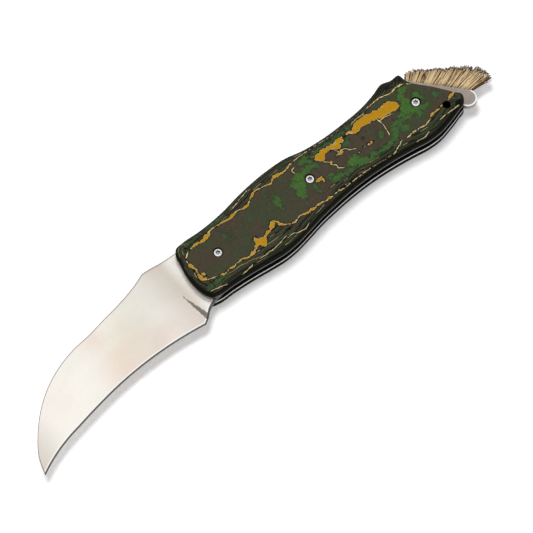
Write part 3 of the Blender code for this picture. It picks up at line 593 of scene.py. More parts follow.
def smooth_path(points, steps):
    """A curve through all the points, open at its ends. The spans' lengths weigh its tangents."""
    path = []
    for i in range(len(points) - 1):
        tangents = []
        for k in (i, i + 1):
            before, after = points[max(k - 1, 0)], points[min(k + 1, len(points) - 1)]
            back, ahead = points[k] - before, after - points[k]
            if back.length == 0 or ahead.length == 0:
                tangents.append((back + ahead).normalized())
            else:
                mixed = back * (ahead.length / back.length) + ahead * (back.length / ahead.length)
                tangents.append(mixed / (back.length + ahead.length))
        start, end = points[i], points[i + 1]
        span = (end - start).length
        for step in range(steps):
            t = step / steps
            path.append(
                start * (2 * t**3 - 3 * t**2 + 1)
                + tangents[0] * span * (t**3 - 2 * t**2 + t)
                + end * (3 * t**2 - 2 * t**3)
                + tangents[1] * span * (t**3 - t**2)
            )
    return path + [points[-1]]


def smooth_loop(points, steps):
    """A closed curve through all the points."""
    count = len(points)
    wrapped = [points[i % count] for i in range(-2, count + 2)]
    path = smooth_path(wrapped, steps)
    return path[2 * steps : 2 * steps + count * steps]


def arc(centre, radius, start, end, steps):
    """Points round a centre, from one angle to another."""
    turns = [start + (end - start) * i / steps for i in range(steps + 1)]
    return [centre + at_turn(turn, radius) for turn in turns]


def handle_points():
    """The handle's outline, a hair inside that of the construction."""
    return [at_handle((x, y * fit_share)) for x, y, _ in handle_outline_shares]


def plateau_points():
    """The handle's points moved in by their shoulders: the rim of each scale's flat."""
    widths = {"S": side_shoulder, "F": front_shoulder, "B": butt_shoulder}
    points = handle_points()
    moved = []
    for i, point in enumerate(points):
        along = (points[(i + 1) % len(points)] - points[i - 1]).normalized()
        moved.append(point - left_of(along) * widths[handle_outline_shares[i][2]])
    return moved


def tang_radius():
    """The tang's radius: what the spring's nose leaves under the handle's spine at the pivot."""
    loop = smooth_loop(handle_points(), 2)
    upper = sorted((p.x, p.y) for p in loop if p.y > 0)
    before = max(p for p in upper if p[0] <= 0)
    after = min(p for p in upper if p[0] > 0)
    height = before[1] + (after[1] - before[1]) * -before[0] / (after[0] - before[0])
    return height * (1 - spring_nose_share) - rim_chamfer - spring_clearance


def brush_frame():
    """The brush line's start, its length, and the directions along it and out of it."""
    start, end = at_handle(brush_line_start_share), at_handle(brush_line_end_share)
    along = (end - start).normalized()
    return start, (end - start).length, along, left_of(along)


def new_piece(name, build):
    """An object in the knife's frame, whose mesh is built by a function that fills a bmesh."""
    mesh = bpy.data.meshes.new(name)
    shape = bmesh.new()
    build(shape)
    bmesh.ops.recalc_face_normals(shape, faces=shape.faces)
    shape.to_mesh(mesh)
    shape.free()
    piece = bpy.data.objects.new(name, mesh)
    piece.location = hinge
    bpy.context.scene.collection.objects.link(piece)
    return piece


def plate(name, loop, thickness, middle, chamfer=0.0, segments=1):
    """A filled outline, extruded both ways from its middle height, with a broken rim."""
    curve = bpy.data.curves.new(name, "CURVE")
    curve.dimensions = "2D"
    curve.fill_mode = "BOTH"
    curve.extrude = thickness / 2
    spline = curve.splines.new("POLY")
    spline.points.add(len(loop) - 1)
    for point, (x, y) in zip(spline.points, loop):
        point.co = (x, y, 0, 1)
    spline.use_cyclic_u = True
    drawn = bpy.data.objects.new(name + "_curve", curve)
    bpy.context.scene.collection.objects.link(drawn)
    bpy.context.view_layer.update()
    mesh = bpy.data.meshes.new_from_object(drawn.evaluated_get(bpy.context.evaluated_depsgraph_get()))
    bpy.data.objects.remove(drawn)

    def fill(shape):
        shape.from_mesh(mesh)
        bmesh.ops.remove_doubles(shape, verts=shape.verts, dist=tiny)
        caps = {face for face in shape.faces if abs(face.normal.z) > 0.5}
        inner = [edge for edge in shape.edges if caps.issuperset(edge.link_faces)]
        bmesh.ops.dissolve_edges(shape, edges=inner, use_verts=False)
        bmesh.ops.translate(shape, verts=shape.verts, vec=(0, 0, middle))

    made = new_piece(name, fill)
    if chamfer:
        bevel = made.modifiers.new("rim", "BEVEL")
        bevel.width = chamfer
        bevel.segments = segments
        bevel.limit_method = "ANGLE"
        bevel.angle_limit = math.radians(60)
    return made


def turned(name, profile, at, flip=False):
    """A turned solid from a profile of (radius, height) pairs, which starts and ends on the axis."""

    def fill(shape):
        rings = []
        for radius, height in profile:
            level = -height if flip else height
            spots = arc(at, radius, 0, 2 * math.pi, turn_steps)[:-1] if radius else [at]
            rings.append([shape.verts.new((*spot, level)) for spot in spots])
        for first, second in zip(rings, rings[1:]):
            for i in range(turn_steps):
                k = (i + 1) % turn_steps
                corners = [first[i % len(first)], first[k % len(first)]]
                corners += [second[k % len(second)], second[i % len(second)]]
                shape.faces.new(list(dict.fromkeys(corners)))

    return new_piece(name, fill)


def bore(name, radius, at, reach):
    """A round cutter that goes as far above the middle as below it."""
    return turned(name, [(0, reach), (radius, reach), (radius, -reach), (0, -reach)], at)


def drill(piece, cutters):
    """Takes the cutters away from the piece for good, and removes them."""
    for cutter in cutters:
        modifier = piece.modifiers.new(cutter.name, "BOOLEAN")
        modifier.operation = "DIFFERENCE"
        modifier.object = cutter
    bpy.context.view_layer.update()
    graph = bpy.context.evaluated_depsgraph_get()
    mesh = bpy.data.meshes.new_from_object(piece.evaluated_get(graph))
    piece.modifiers.clear()
    piece.data = mesh
    for cutter in cutters:
        bpy.data.objects.remove(cutter)
    return piece


def dress(piece, material, body, slot, *nodes, sharp=30):
    """Shades, finishes and mounts a piece, which stands for the named nodes."""
    piece.data.materials.clear()
    piece.data.materials.append(material)
    piece.data.shade_smooth()
    piece.data.set_sharp_from_angle(angle=math.radians(sharp))
    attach(piece, body)
    if nodes:
        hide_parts(*nodes)
    return piece


def as_rows(points):
    """Points as an array with a row for each."""
    return np.array([tuple(point) for point in points])


def distance_to_run(points, run, closed=False):
    """Each point's distance to a run of points, and the run's third value at the nearest place."""
    run = np.array(run, float)
    nexts = np.roll(run, -1, axis=0) if closed else run[1:]
    best = np.full(len(points), np.inf)
    value = np.zeros(len(points))
    for start, end in zip(run, nexts):
        span = end[:2] - start[:2]
        t = np.clip((points - start[:2]) @ span / (span @ span), 0, 1)
        gap = np.linalg.norm(points - start[:2] - t[:, None] * span, axis=1)
        nearer = gap < best
        best[nearer] = gap[nearer]
        if run.shape[1] > 2:
            value[nearer] = (start[2] + (end[2] - start[2]) * t)[nearer]
    return best, value


def inside_loop(points, loop):
    """Whether each point lies inside a closed loop."""
    loop = np.array(loop, float)[:, :2]
    inside = np.zeros(len(points), bool)
    for (x0, y0), (x1, y1) in zip(loop, np.roll(loop, -1, axis=0)):
        if y0 == y1:
            continue
        across = (points[:, 1] > min(y0, y1)) & (points[:, 1] <= max(y0, y1))
        inside ^= across & (points[:, 0] < x0 + (points[:, 1] - y0) * (x1 - x0) / (y1 - y0))
    return inside


def signed_distance(points, loop):
    """The distance to a closed loop, below zero inside it, and the loop's third value there."""
    gap, value = distance_to_run(points, loop, closed=True)
    return np.where(inside_loop(points, loop), -gap, gap), value


def patch_distance(points, patches):
    """The distance to the nearest oval patch, below zero inside, and the patch's fifth value."""
    best = np.full(len(points), np.inf)
    value = np.zeros(len(points))
    for patch in patches:
        centre, half = np.array(patch[:2]), np.array(patch[2:4])
        reach = (np.linalg.norm((points - centre) / half, axis=1) - 1) * half.min()
        nearer = reach < best
        best[nearer] = reach[nearer]
        value[nearer] = patch[4] if len(patch) > 4 else 1
    return best, value


def vein_distance(points, runs):
    """The distance to the nearest vein, and the same with a sign for its side. The sign keeps a line
    whole where it is thinner than a cell."""
    best = np.full(len(points), np.inf)
    side = np.zeros(len(points))
    for run in runs:
        for start, end in zip(np.array(run, float), np.array(run[1:], float)):
            span, away = end - start, points - start
            t = np.clip(away @ span / (span @ span), 0, 1)
            gap = np.linalg.norm(away - t[:, None] * span, axis=1)
            nearer = gap < best
            best[nearer] = gap[nearer]
            turned_left = span[0] * away[:, 1] > span[1] * away[:, 0]
            side[nearer] = np.where(turned_left, gap, -gap)[nearer]
    return best, side


def keep_value(mesh, name, values, domain="POINT"):
    """Keeps a value for each point or face of a mesh, for its material."""
    mesh.attributes.new(name, "FLOAT", domain).data.foreach_set("value", np.asarray(values, np.float32))


def mark_laminate(piece):
    """Keeps on a scale's points how far each lies from the layers' lines and patches, in millimetres."""
    mesh = piece.data
    places = np.empty(len(mesh.vertices) * 3)
    mesh.vertices.foreach_get("co", places)
    flat = (places.reshape(-1, 3) * to_mm)[:, :2]
    rim = as_rows(smooth_loop(plateau_points(), 4)) * to_mm
    contour, width = signed_distance(flat, yellow_contour)
    green, brightness = patch_distance(flat, green_patches)
    vein, vein_side = vein_distance(flat, pale_veins)
    hole = at_handle(lanyard_share) * to_mm
    # How far round the outline each point lies, as a place on a circle
    outline = as_rows(smooth_loop(handle_points(), 4)) * to_mm
    spans = np.cumsum(np.linalg.norm(np.roll(outline, -1, axis=0) - outline, axis=1))
    nearest = np.argmin(np.linalg.norm(flat[:, None] - outline[None], axis=2), axis=1)
    turns = 2 * math.pi * spans[nearest] / spans[-1]
    for name, values in (
        ("contour", contour),
        ("contour_width", width),
        ("rim", signed_distance(flat, rim)[0]),
        ("orange", patch_distance(flat, orange_patches)[0]),
        ("green", np.minimum(green, distance_to_run(flat, green_run)[0] - green_run_half)),
        ("green_light", brightness),
        ("vein", vein),
        ("vein_side", vein_side),
        ("hole", np.hypot(flat[:, 0] - hole.x, flat[:, 1] - hole.y) - lanyard_bore * to_mm),
        ("round_x", np.cos(turns)),
        ("round_y", np.sin(turns)),
    ):
        keep_value(mesh, name, values)


def laminate_finish(name, settings, seed):
    """Camouflage laminate: brown and olive, and the green, orange and pale layers that the cut opened."""
    f = Finish(name)
    dark, moss, cream = settings.dark, settings.moss, settings.cream
    spot = f.scaled()
    across, upward, height = f.parts(spot)
    rim, contour_width = f.value("rim"), f.value("contour_width")
    jags = f.wobble(spot, 1.1, 0.42, 4, seed) + f.wobble(spot, 4.0, 0.12, 1, seed + 3)
    contour = f.value("contour") + jags
    drop = scale_face * to_mm - abs(height)
    out = rim + drop * 0.8
    waist = f.ramp(across, 38.0, 43.0) * f.ramp(across, 69.0, 65.0)

    # The ground, with faint flecks. It is browner in the waist
    broad = f.ramp(f.noise(spot, 0.13, 4, 0.6, seed + 5) - waist * 0.15, 0.40, 0.60)
    ground = f.mix(broad, settings.brown, settings.olive)
    fleck = f.noise(f.scaled((1.0, 0.4, 1)), 0.8, 5, 0.65, seed + 7)
    ground = f.mix(f.ramp(fleck, 0.58, 0.70, 0.0, 0.55), ground, moss)
    ground = f.tone(ground, f.noise(spot, 1.6, 4, 0.7, seed + 9), 0.84, 1.16)

    # The strata outside the contour: wavy lines along the outline, with thin sage and cream seams
    ring = f.value("round_x") * 4.5, f.value("round_y") * 4.5
    grain = f.add("CombineXYZ", {0: ring[0], 1: ring[1], 2: out * 0.3}).outputs[0]
    bends = f.noise(grain, 1.0, 2, 0.5, seed + 17) * 4.0
    phase = (out * 1.15 + bends + jags * 0.2) * (2 * math.pi)
    half_phase = phase * 0.5
    depth = f.ramp(f.noise(grain, 2.0, 2, 0.5, seed + 19), 0.35, 0.6, 0.75, 1.0)
    shade = f.ramp(f.noise(grain, 0.9, 2, 0.5, seed + 20), 0.42, 0.58)
    strata = f.mix(shade, dimmed(settings.brown, 0.85), dimmed(settings.olive, 0.8))
    # Painted shade: the strata darken as the shoulder falls away from the flat
    strata = f.mix(f.ramp(out, 0.4, 2.6, 0.0, 0.25), strata, dark)
    strata = f.mix(f.ramp(f.math("SINE", phase), -0.1, 0.15) * depth, strata, dark)
    seam = f.ramp(f.math("SINE", half_phase + 1.0), 0.92, 0.99, 0.0, 0.7)
    strata = f.mix(seam, strata, settings.sage)
    rare = f.ramp(f.noise(grain, 1.4, 2, 0.6, seed + 23), 0.52, 0.58)
    pale = f.ramp(f.math("SINE", half_phase + 4.2), 0.95, 0.985, 0.0, 0.8)
    strata = f.mix(pale * rare, strata, cream)
    corner = f.ramp(across, 68.0, 76.0, 0.0, 0.7) * f.ramp(upward, 7.8, 9.0)
    strata = f.mix(corner, strata, dark)
    # In the waist the strata also come inside the contour
    inner = waist * f.ramp(rim + jags, -1.5, -0.9)
    body = f.mix(f.most(inner, f.ramp(contour, 0.2, 0.8)), ground, strata)

    # The green layer: ragged, with holes in it and two tones
    edge = f.value("green") + f.wobble(spot, 0.8, 1.5, 6, seed + 11)
    edge = edge + f.wobble(spot, 2.6, 1.4, 5, seed + 12) - 0.22
    light = f.math("ADD", f.value("green_light"), f.wobble(spot, 0.6, 0.5, 4, seed + 13), clamp=True)
    leaf = f.mix(light, moss, settings.green)
    leaf = f.tone(leaf, f.noise(spot, 2.2, 4, 0.65, seed + 14), 0.72, 1.12)
    whole = f.ramp(f.noise(spot, 1.3, 5, 0.7, seed + 15), 0.36, 0.42)
    body = f.mix(f.ramp(edge, 0.45, 0.15, 0.0, 0.45) * whole, body, dark)
    body = f.mix(f.ramp(edge, 0.25, -0.25, 0.0, 0.97) * whole, body, leaf)

    # Painted shade: the sides and the steep end at the butt are painted dark, the more so the further they
    # fall below the flat
    body = f.mix(f.ramp(drop, 0.55, 1.5, 0.0, 0.94), body, dark)
    steep = drop - f.most(rim, 0.0) * 0.3
    steep = f.ramp(steep, 0.0, 0.08, 0.0, 0.95) * f.ramp(across, 78.0, 80.0)
    body = f.mix(steep, body, dark)

    # The yellow contour, the orange patches and the pale veins, each in its dark rind
    swell = f.ramp(f.noise(spot, 0.8, 2, 0.5, seed + 29), 0.25, 0.75, 0.5, 1.4)
    missing = f.ramp(f.noise(spot, 0.75, 3, 0.6, seed + 30), 0.50, 0.62, -0.01, 0.18)
    line = abs(contour) - (contour_width * swell - missing)
    patch = f.value("orange") + jags * 2.1
    vein = abs(f.value("vein_side") + jags * 0.4) - (swell * 0.13 - missing * 0.3)
    vein = f.most(vein, f.value("vein") - 0.5)
    gold = f.least(line, patch)
    rind = f.least(gold, vein)
    body = f.mix(f.ramp(rind, 0.40, 0.14, 0.0, 0.9), body, dark)
    thin = f.ramp(gold + f.wobble(spot, 1.2, 0.15, 2, seed + 31), -0.14, -0.01, 0.0, 0.85)
    on_line = f.ramp(line - patch, 0.05, -0.05)
    thin = f.most(thin, on_line * f.ramp(contour_width, 0.26, 0.16))
    yolk = f.mix(thin, settings.orange, cream)
    yolk = f.tone(yolk, f.noise(spot, 2.2, 4, 0.65, seed + 37), 0.82, 1.1)
    ivory = f.tone(cream, f.noise(spot, 1.0, 2, 0.5, seed + 39), 0.6, 1.05)
    body = f.mix(f.ramp(vein, 0.06, -0.05), body, ivory)
    body = f.mix(f.ramp(gold, 0.05, -0.05), body, yolk)
    # Painted shade inside the lanyard hole, near black
    body = f.mix(f.ramp(f.value("hole"), 0.10, 0.03), body, dimmed(dark, 0.1))

    grainy = f.noise(spot, 9.0, 3, 0.6, seed + 41)
    rough = f.ramp(grainy, 0.3, 0.7, settings.roughness - 0.06, settings.roughness + 0.08)
    rough = rough + f.ramp(drop, 0.6, 1.8, 0.0, 0.4)
    relief = f.bump(grainy * 0.4 + f.ramp(rind, 0.1, -0.1), 0.00003, 0.5)
    f.set(Base_Color=body, Roughness=rough, Normal=relief, Specular_IOR_Level=0.08)
    return f.material


def metal_finish(name, tone, roughness, patina, seed, grain=(1, 1, 1), depth=0.000003):
    """Brushed or polished metal: fine grain lines, smudges and a little wear."""
    f = Finish(name)
    lines = f.noise(f.scaled(grain), 6.0, 4, 0.7, seed)
    smudge = f.noise(f.scaled(), 0.35, 3, 0.55, seed + 5)
    dull = dimmed(tone, 1 - patina)
    base = f.mix(f.ramp(smudge, 0.3, 0.7), dull, tone)
    base = f.mix(f.ramp(lines, 0.3, 0.7, 0.0, patina), base, dull)
    rough = f.ramp(lines, 0.2, 0.8, roughness - 0.06, roughness + 0.08)
    rough = rough + f.wobble(f.scaled(), 0.8, 0.03, 2, seed + 9)
    f.set(Base_Color=base, Roughness=rough, Normal=f.bump(lines, depth, 0.4), Metallic=1.0)
    return f.material


class KNIFE_OT_scales(bpy.types.Operator):
    """Make the two laminate scales"""

    bl_idname = "knife.scales"
    bl_label = "Make scales"

    def execute(self, context):
        settings = context.scene.knife_scale
        for side, place, seed in ((1, "upper", 2.0), (-1, "lower", 47.0)):
            scale = self.build(place + "_laminate", side, settings)
            mark_laminate(scale)
            finish = laminate_finish(place + "_laminate", settings, seed)
            dress(scale, finish, "handle", "laminate", place + "_scale", sharp=40)
        return {"FINISHED"}

    def build(self, name, side, settings):
        """Rings from the seat up the side, round the elliptical shoulder and across the flat."""
        outer = smooth_loop(handle_points(), settings.outline_steps)
        inner = smooth_loop(plateau_points(), settings.outline_steps)
        wall_top = scale_face - shoulder_height
        rings = [(0.0, scale_seat), (0.0, (scale_seat + wall_top) / 2)]
        for step in range(settings.shoulder_steps + 1):
            turn = math.pi / 2 * step / settings.shoulder_steps
            rings.append((1 - math.cos(turn), wall_top + shoulder_height * math.sin(turn)))

        def fill(shape):
            loops = []
            for part, height in rings:
                ring = [a.lerp(b, part) for a, b in zip(outer, inner)]
                loops.append([shape.verts.new((*point, side * height)) for point in ring])
            for lower, upper in zip(loops, loops[1:]):
                for i in range(len(lower)):
                    k = (i + 1) % len(lower)
                    shape.faces.new((lower[i], lower[k], upper[k], upper[i]))
            shape.faces.new(loops[0])
            shape.faces.new(loops[-1])

        scale = new_piece(name, fill)
        head, shank = head_radius + head_clearance, shank_radius + shank_clearance
        seat = head_seat - seat_gap
        cutters = []
        for i, spot in enumerate([pivot] + [at_handle(place) for place in scale_screw_shares]):
            step = ((head, seat), (shank, seat))
            cutters.append(self.hole(f"{name}_hole_{i}", spot, side, settings.hole_bevel, head, step))
        lanyard = at_handle(lanyard_share)
        cutters.append(self.hole(name + "_lanyard", lanyard, side, settings.hole_bevel, lanyard_bore))
        drill(scale, cutters)
        self.cut_cells(scale, settings.cell)
        return scale

    def hole(self, name, spot, side, rim, radius, step=()):
        """The cutter of a hole with its rim broken, and with a step in it for a screw's head."""
        top, bottom = scale_face + seat_gap, scale_seat - seat_gap
        profile = [(0, top), (radius + rim, top), (radius + rim, scale_face), (radius, scale_face - rim)]
        profile += [*step, (step[-1][0] if step else radius, bottom), (0, bottom)]
        return turned(name, profile, spot, flip=side < 0)

    def cut_cells(self, scale, cell):
        """Cuts the flat into cells small enough for its points to keep the laminate's lines."""
        shape = bmesh.new()
        shape.from_mesh(scale.data)
        flat = [face for face in shape.faces if all(abs(v.co.z) > scale_face - tiny for v in face.verts)]
        geometry = flat + list({part for face in flat for part in (*face.edges, *face.verts)})
        corners = [v.co.copy() for face in flat for v in face.verts]
        for axis in (0, 1):
            low, high = min(c[axis] for c in corners), max(c[axis] for c in corners)
            across = Vector((axis == 0, axis == 1, 0))
            for i in range(1, int((high - low) / cell)):
                place = across * (low + i * cell)
                cut = bmesh.ops.bisect_plane(
                    shape, geom=geometry, plane_co=place, plane_no=across, dist=tiny / 5
                )
                geometry = cut["geom"]
        shape.to_mesh(scale.data)
        shape.free()


class KNIFE_OT_liners(bpy.types.Operator):
    """Make the two steel liners, and finish the spring, pins and washers between them"""

    bl_idname = "knife.liners"
    bl_label = "Make liners and fittings"

    def execute(self, context):
        settings = context.scene.knife_steel
        steel = metal_finish("brushed_liner_steel", settings.liner, 0.30, 0.15, 3, (0.15, 3, 3), 0.000006)
        bright = metal_finish("polished_pin_steel", settings.bright, 0.18, 0.1, 7)
        # The lanyard tube takes the shade colour all over: painted shade that makes the hole read dark
        hole_shade = metal_finish("hole_shade_tube_steel", settings.painted_shade, 0.45, 0.3, 9)
        bronze = metal_finish("washer_bronze", settings.bronze, 0.33, 0.25, 11, depth=0.000006)
        for side, place in ((1, "upper"), (-1, "lower")):
            finish = self.finish(side, settings)
            loop = smooth_loop(handle_points(), 8)
            liner = plate(place + "_steel_liner", loop, liner_thickness, side * liner_middle, liner_rim, 2)
            dress(drill(liner, self.holes(place)), finish, "handle", "frame_steel", place + "_liner")
        pins = ("pivot_barrel", "stop_pin", "brush_pin", "spring_front_pin", "spring_rear_pin")
        washers = ("upper_pivot_washer", "lower_pivot_washer", "upper_brush_washer", "lower_brush_washer")
        tube, spring = ("lanyard_tube",), ("backspring",)
        for finish, nodes in ((bright, pins), (bronze, washers), (hole_shade, tube), (steel, spring)):
            for node in nodes:
                frame["nodes"][node].data.materials.clear()
                frame["nodes"][node].data.materials.append(finish)
        return {"FINISHED"}

    def finish(self, side, settings):
        """Brushed steel with painted shade in the slot and on the outer rim. The upper liner is painted
        darker, as shade.
        """
        f = Finish("shaded_liner_steel" if side > 0 else "bright_liner_steel")
        # Painted shade: the upper liner's steel is painted at about a fifth of its light, so its rim shows
        # dark
        tone = dimmed(settings.liner, 0.22 if side > 0 else 1.0)
        lines = f.noise(f.scaled((0.15, 3, 3)), 6.0, 4, 0.7, 3)
        height = abs(f.parts(f.scaled())[2])
        painted_shade = f.tone(settings.painted_shade, lines, 0.7, 1.3)
        # Painted shade on the face inside the slot, and on the outer part of each liner's rim
        inside = f.ramp(height, (half_slot + rim_chamfer) * to_mm, half_slot * to_mm + tiny)
        outer = f.ramp(height, half_slot * to_mm + 0.62, half_slot * to_mm + 0.72, 0.0, 0.9)
        base = f.mix(f.ramp(lines, 0.3, 0.7), tone, dimmed(tone, 0.8))
        base = f.mix(inside, f.mix(outer, base, painted_shade), painted_shade)
        rough = f.ramp(lines, 0.2, 0.8, 0.24, 0.36) + inside * 0.3
        f.set(Base_Color=base, Roughness=rough, Normal=f.bump(lines, 0.000006, 0.4), Metallic=1.0)
        return f.material

    def holes(self, place):
        """Cutters for the pins, the barrel, the screws and the lanyard tube."""
        spots = [
            (pivot, pivot_radius),
            (at_turn(stop_pin_angle) * tang_radius() * stop_slot_share, stop_pin_radius),
            (at_handle(brush_pin_share), brush_pin_radius),
            (at_handle(lanyard_share), lanyard_bore + lanyard_wall),
        ]
        spots += [(at_handle(spot), spring_pin_radius) for spot in spring_pin_shares]
        spots += [(at_handle(spot), shank_radius) for spot in scale_screw_shares]
        return [
            bore(f"{place}_liner_hole_{i}", radius + pivot_clearance, spot, scale_face)
            for i, (spot, radius) in enumerate(spots)
        ]


class KNIFE_OT_blade(bpy.types.Operator):
    """Make the hollow-ground hooked blade"""

    bl_idname = "knife.blade"
    bl_label = "Make blade"

    def execute(self, context):
        settings = context.scene.knife_blade
        blade = self.build("hooked_blade", settings)
        dress(blade, self.finish(settings), "blade", "blade_steel", "blade", sharp=28)
        return {"FINISHED"}

    def build(self, name, settings):
        """Slices across the blade from tip to tang, each a column of points from its edge to its spine."""
        radius = tang_radius()
        edge, rest, upper = self.runs(radius)
        lower = np.vstack((edge, rest[1:]))
        columns = []
        for x in self.stations(edge[0][0], edge[-1][0], radius, settings):
            low, top = np.interp(x, *lower.T), np.interp(x, *upper.T)
            slope = (np.interp(x + tiny, *lower.T) - low) / tiny
            columns.append([(x, y) for y in self.column(low, top, math.hypot(1, slope), settings)])
        flat = np.array([spot for column in columns for spot in column])
        heights, plunge = self.heights(flat, edge, rest, upper, settings.rim)
        rows = settings.row_count
        last = len(columns) - 1

        def fill(shape):
            faces = []
            for side in (1, -1):
                made = [shape.verts.new((x, y, side * h)) for (x, y), h in zip(flat, heights)]
                faces.append([made[i * rows : (i + 1) * rows] for i in range(len(columns))])
            for grid in faces:
                for first, second in zip(grid, grid[1:]):
                    for k in range(rows - 1):
                        shape.faces.new((first[k], second[k], second[k + 1], first[k + 1]))
            above, below = faces
            for k in (0, rows - 1):
                for i in range(last):
                    shape.faces.new((above[i][k], above[i + 1][k], below[i + 1][k], below[i][k]))
            for i in (0, last):
                for k in range(rows - 1):
                    shape.faces.new((above[i][k], above[i][k + 1], below[i][k + 1], below[i][k]))

        blade = new_piece(name, fill)
        for value, run in (("edge", edge), ("back", upper), ("choil", rest)):
            keep_value(blade.data, value, list(distance_to_run(flat, run)[0] * to_mm) * 2)
        keep_value(blade.data, "plunge", list(plunge) * 2)
        pivot_bore = bore("blade_bore", pivot_radius + pivot_clearance, pivot, blade_thickness)
        stop_slot = plate("stop_slot", self.stop_slot(radius), 2 * blade_thickness, 0)
        return drill(blade, [pivot_bore, stop_slot])

    def runs(self, radius):
        """The edge, the choil with the tang's cam, and the spine with the tang's top, as rows of points."""
        notch = Vector((spring_seat, blade_spine_shares[0][1] * blade_width))
        tip, heel = at_blade(blade_tip_share) * fit_share**2, at_blade(blade_heel_share)
        spine = smooth_path([notch] + [at_blade(place) for place in blade_spine_shares] + [tip], 10)
        edge = smooth_path([tip] + [at_blade(place) for place in blade_edge_shares] + [heel], 10)
        flat_foot = at_turn(tang_flat_start, radius)
        choil = smooth_path([heel] + [at_blade(place) for place in blade_choil_shares] + [flat_foot], 8)
        cam = arc(pivot, radius, tang_flat_end, 0, 40)
        tang_top = [Vector((spring_seat + seat_gap, radius)), Vector((0, radius))]
        tang_top += arc(pivot, radius, math.pi / 2, 0, 40)[1:]
        return as_rows(edge), as_rows(choil + cam), as_rows(spine[::-1] + tang_top)

    def stations(self, tip, heel, radius, settings):
        """Where the slices lie: twice as close at the choil, and spread over the tang."""
        step = settings.slice_length
        places = {tip + settings.rim / 4}
        for start, end, slices in (
            (tip, heel, (heel - tip) / step),
            (heel, spring_seat, (spring_seat - heel) / (step / 2)),
            (spring_seat + seat_gap, radius, radius / step),
        ):
            places |= set(np.linspace(start, end, int(slices)))
        return sorted(places)[1:-1]

    def column(self, low, top, stretch, settings):
        """Heights across the blade, close together at the edge bevel and at the spine's rim."""
        tall = top - low
        marks = [bevel_width * c * stretch for c in (0.0, 0.2, 0.45, 0.95, 1.05)]
        rims = [tall - settings.rim * c for c in (1.0, 0.5, 0.0)]
        inner = settings.row_count - len(marks) - len(rims)
        start, end = marks[-1], rims[0]
        if end - start < settings.rim * settings.row_count / 4:
            return [low + tall * i / (settings.row_count - 1) for i in range(settings.row_count)]
        marks += [start + (end - start) * (i + 1) / (inner + 1) for i in range(inner)]
        return [low + mark for mark in marks + rims]

    def heights(self, flat, edge, rest, upper, rim):
        """Half the thickness at each place: the bevel, the hollow grind, the plunge and the broken rim.
        Also whether the place is on the plunge."""
        half = blade_thickness / 2
        depth = distance_to_run(flat, edge)[0]
        part = np.clip((depth - bevel_width) / (grind_width - bevel_width), 0, 1)
        sag = 4 * grind_hollow * part * (1 - part)
        ground = bevel_half_thickness + (half - bevel_half_thickness) * part - sag
        bevel = edge_half_thickness + (bevel_half_thickness - edge_half_thickness) * depth / bevel_width
        ground = np.where(depth < bevel_width, bevel, ground)
        foot, top = np.array(at_blade(plunge_foot_share)), np.array(at_blade(plunge_top_share))
        tall = np.linalg.norm(top - foot)
        along = (top - foot) / tall
        climb = np.clip((flat - foot) @ along / tall, 0, 1)
        run = plunge_run * (1 - plunge_taper_share * climb)
        behind = np.clip((flat - foot) @ np.array((along[1], -along[0])) / run, 0, 1)
        plunge = ((behind > 0) & (behind < 1) & (ground < half - tiny)).astype(float)
        ground = ground + (half - ground) * behind
        open_side = np.minimum(distance_to_run(flat, rest)[0], distance_to_run(flat, upper)[0])
        return np.minimum(ground, half - rim * 0.5 + open_side * 0.5), plunge

    def stop_slot(self, radius):
        """The round slot of the stop pin in the tang."""
        half = stop_pin_radius + stop_slot_clearance
        middle = radius * stop_slot_share
        start, end = stop_pin_angle, stop_pin_angle - blade_closing_angle
        loop = arc(pivot, middle + half, end, start, 40)
        loop += arc(at_turn(start, middle), half, start, start + math.pi, 16)[1:-1]
        loop += arc(pivot, middle - half, start, end, 40)
        return loop + arc(at_turn(end, middle), half, end + math.pi, end + 2 * math.pi, 16)[1:-1]

    def finish(self, settings):
        """Satin steel with fine lines across the blade; its tones are partly painted reflection, and its
        rims carry painted highlights and shade.
        """
        f = Finish("satin_blade_steel")
        spot = f.scaled()
        along = f.parts(spot)[0]
        # Painted reflection: the warm tone over the grind
        tones = f.noise(f.scaled((0.6, 1, 1)), 0.045, 2, 0.5, 3)
        warmth = f.ramp(tones, 0.36, 0.60) * f.ramp(along, -58.0, -44.0, 0.25, 1.0)
        base = f.mix(warmth, settings.steel, settings.warm)
        # Cool tones towards the tang and the tip, partly the steel's own greyer tone and partly painted
        # reflection, and a painted highlight at the end beside the handle
        for start, end, part, tone in (
            (-50.0, -30.0, 0.35, settings.cool),
            (-30.0, -14.0, 0.8, settings.cool),
            (-16.0, -11.5, 0.95, highlight_white),
            (-72.0, -88.0, 0.8, settings.cool),
        ):
            base = f.mix(f.ramp(along, start, end, 0.0, part), base, tone)
        # Painted reflection: faint rose, straw and leaf tints
        for i, tone in enumerate((settings.rose, settings.straw, settings.leaf)):
            patch = f.ramp(f.noise(spot, 0.05, 1, 0.4, 61 + 7 * i), 0.48, 0.68, 0.0, 0.22)
            base = f.mix(patch, base, tone, "MULTIPLY")
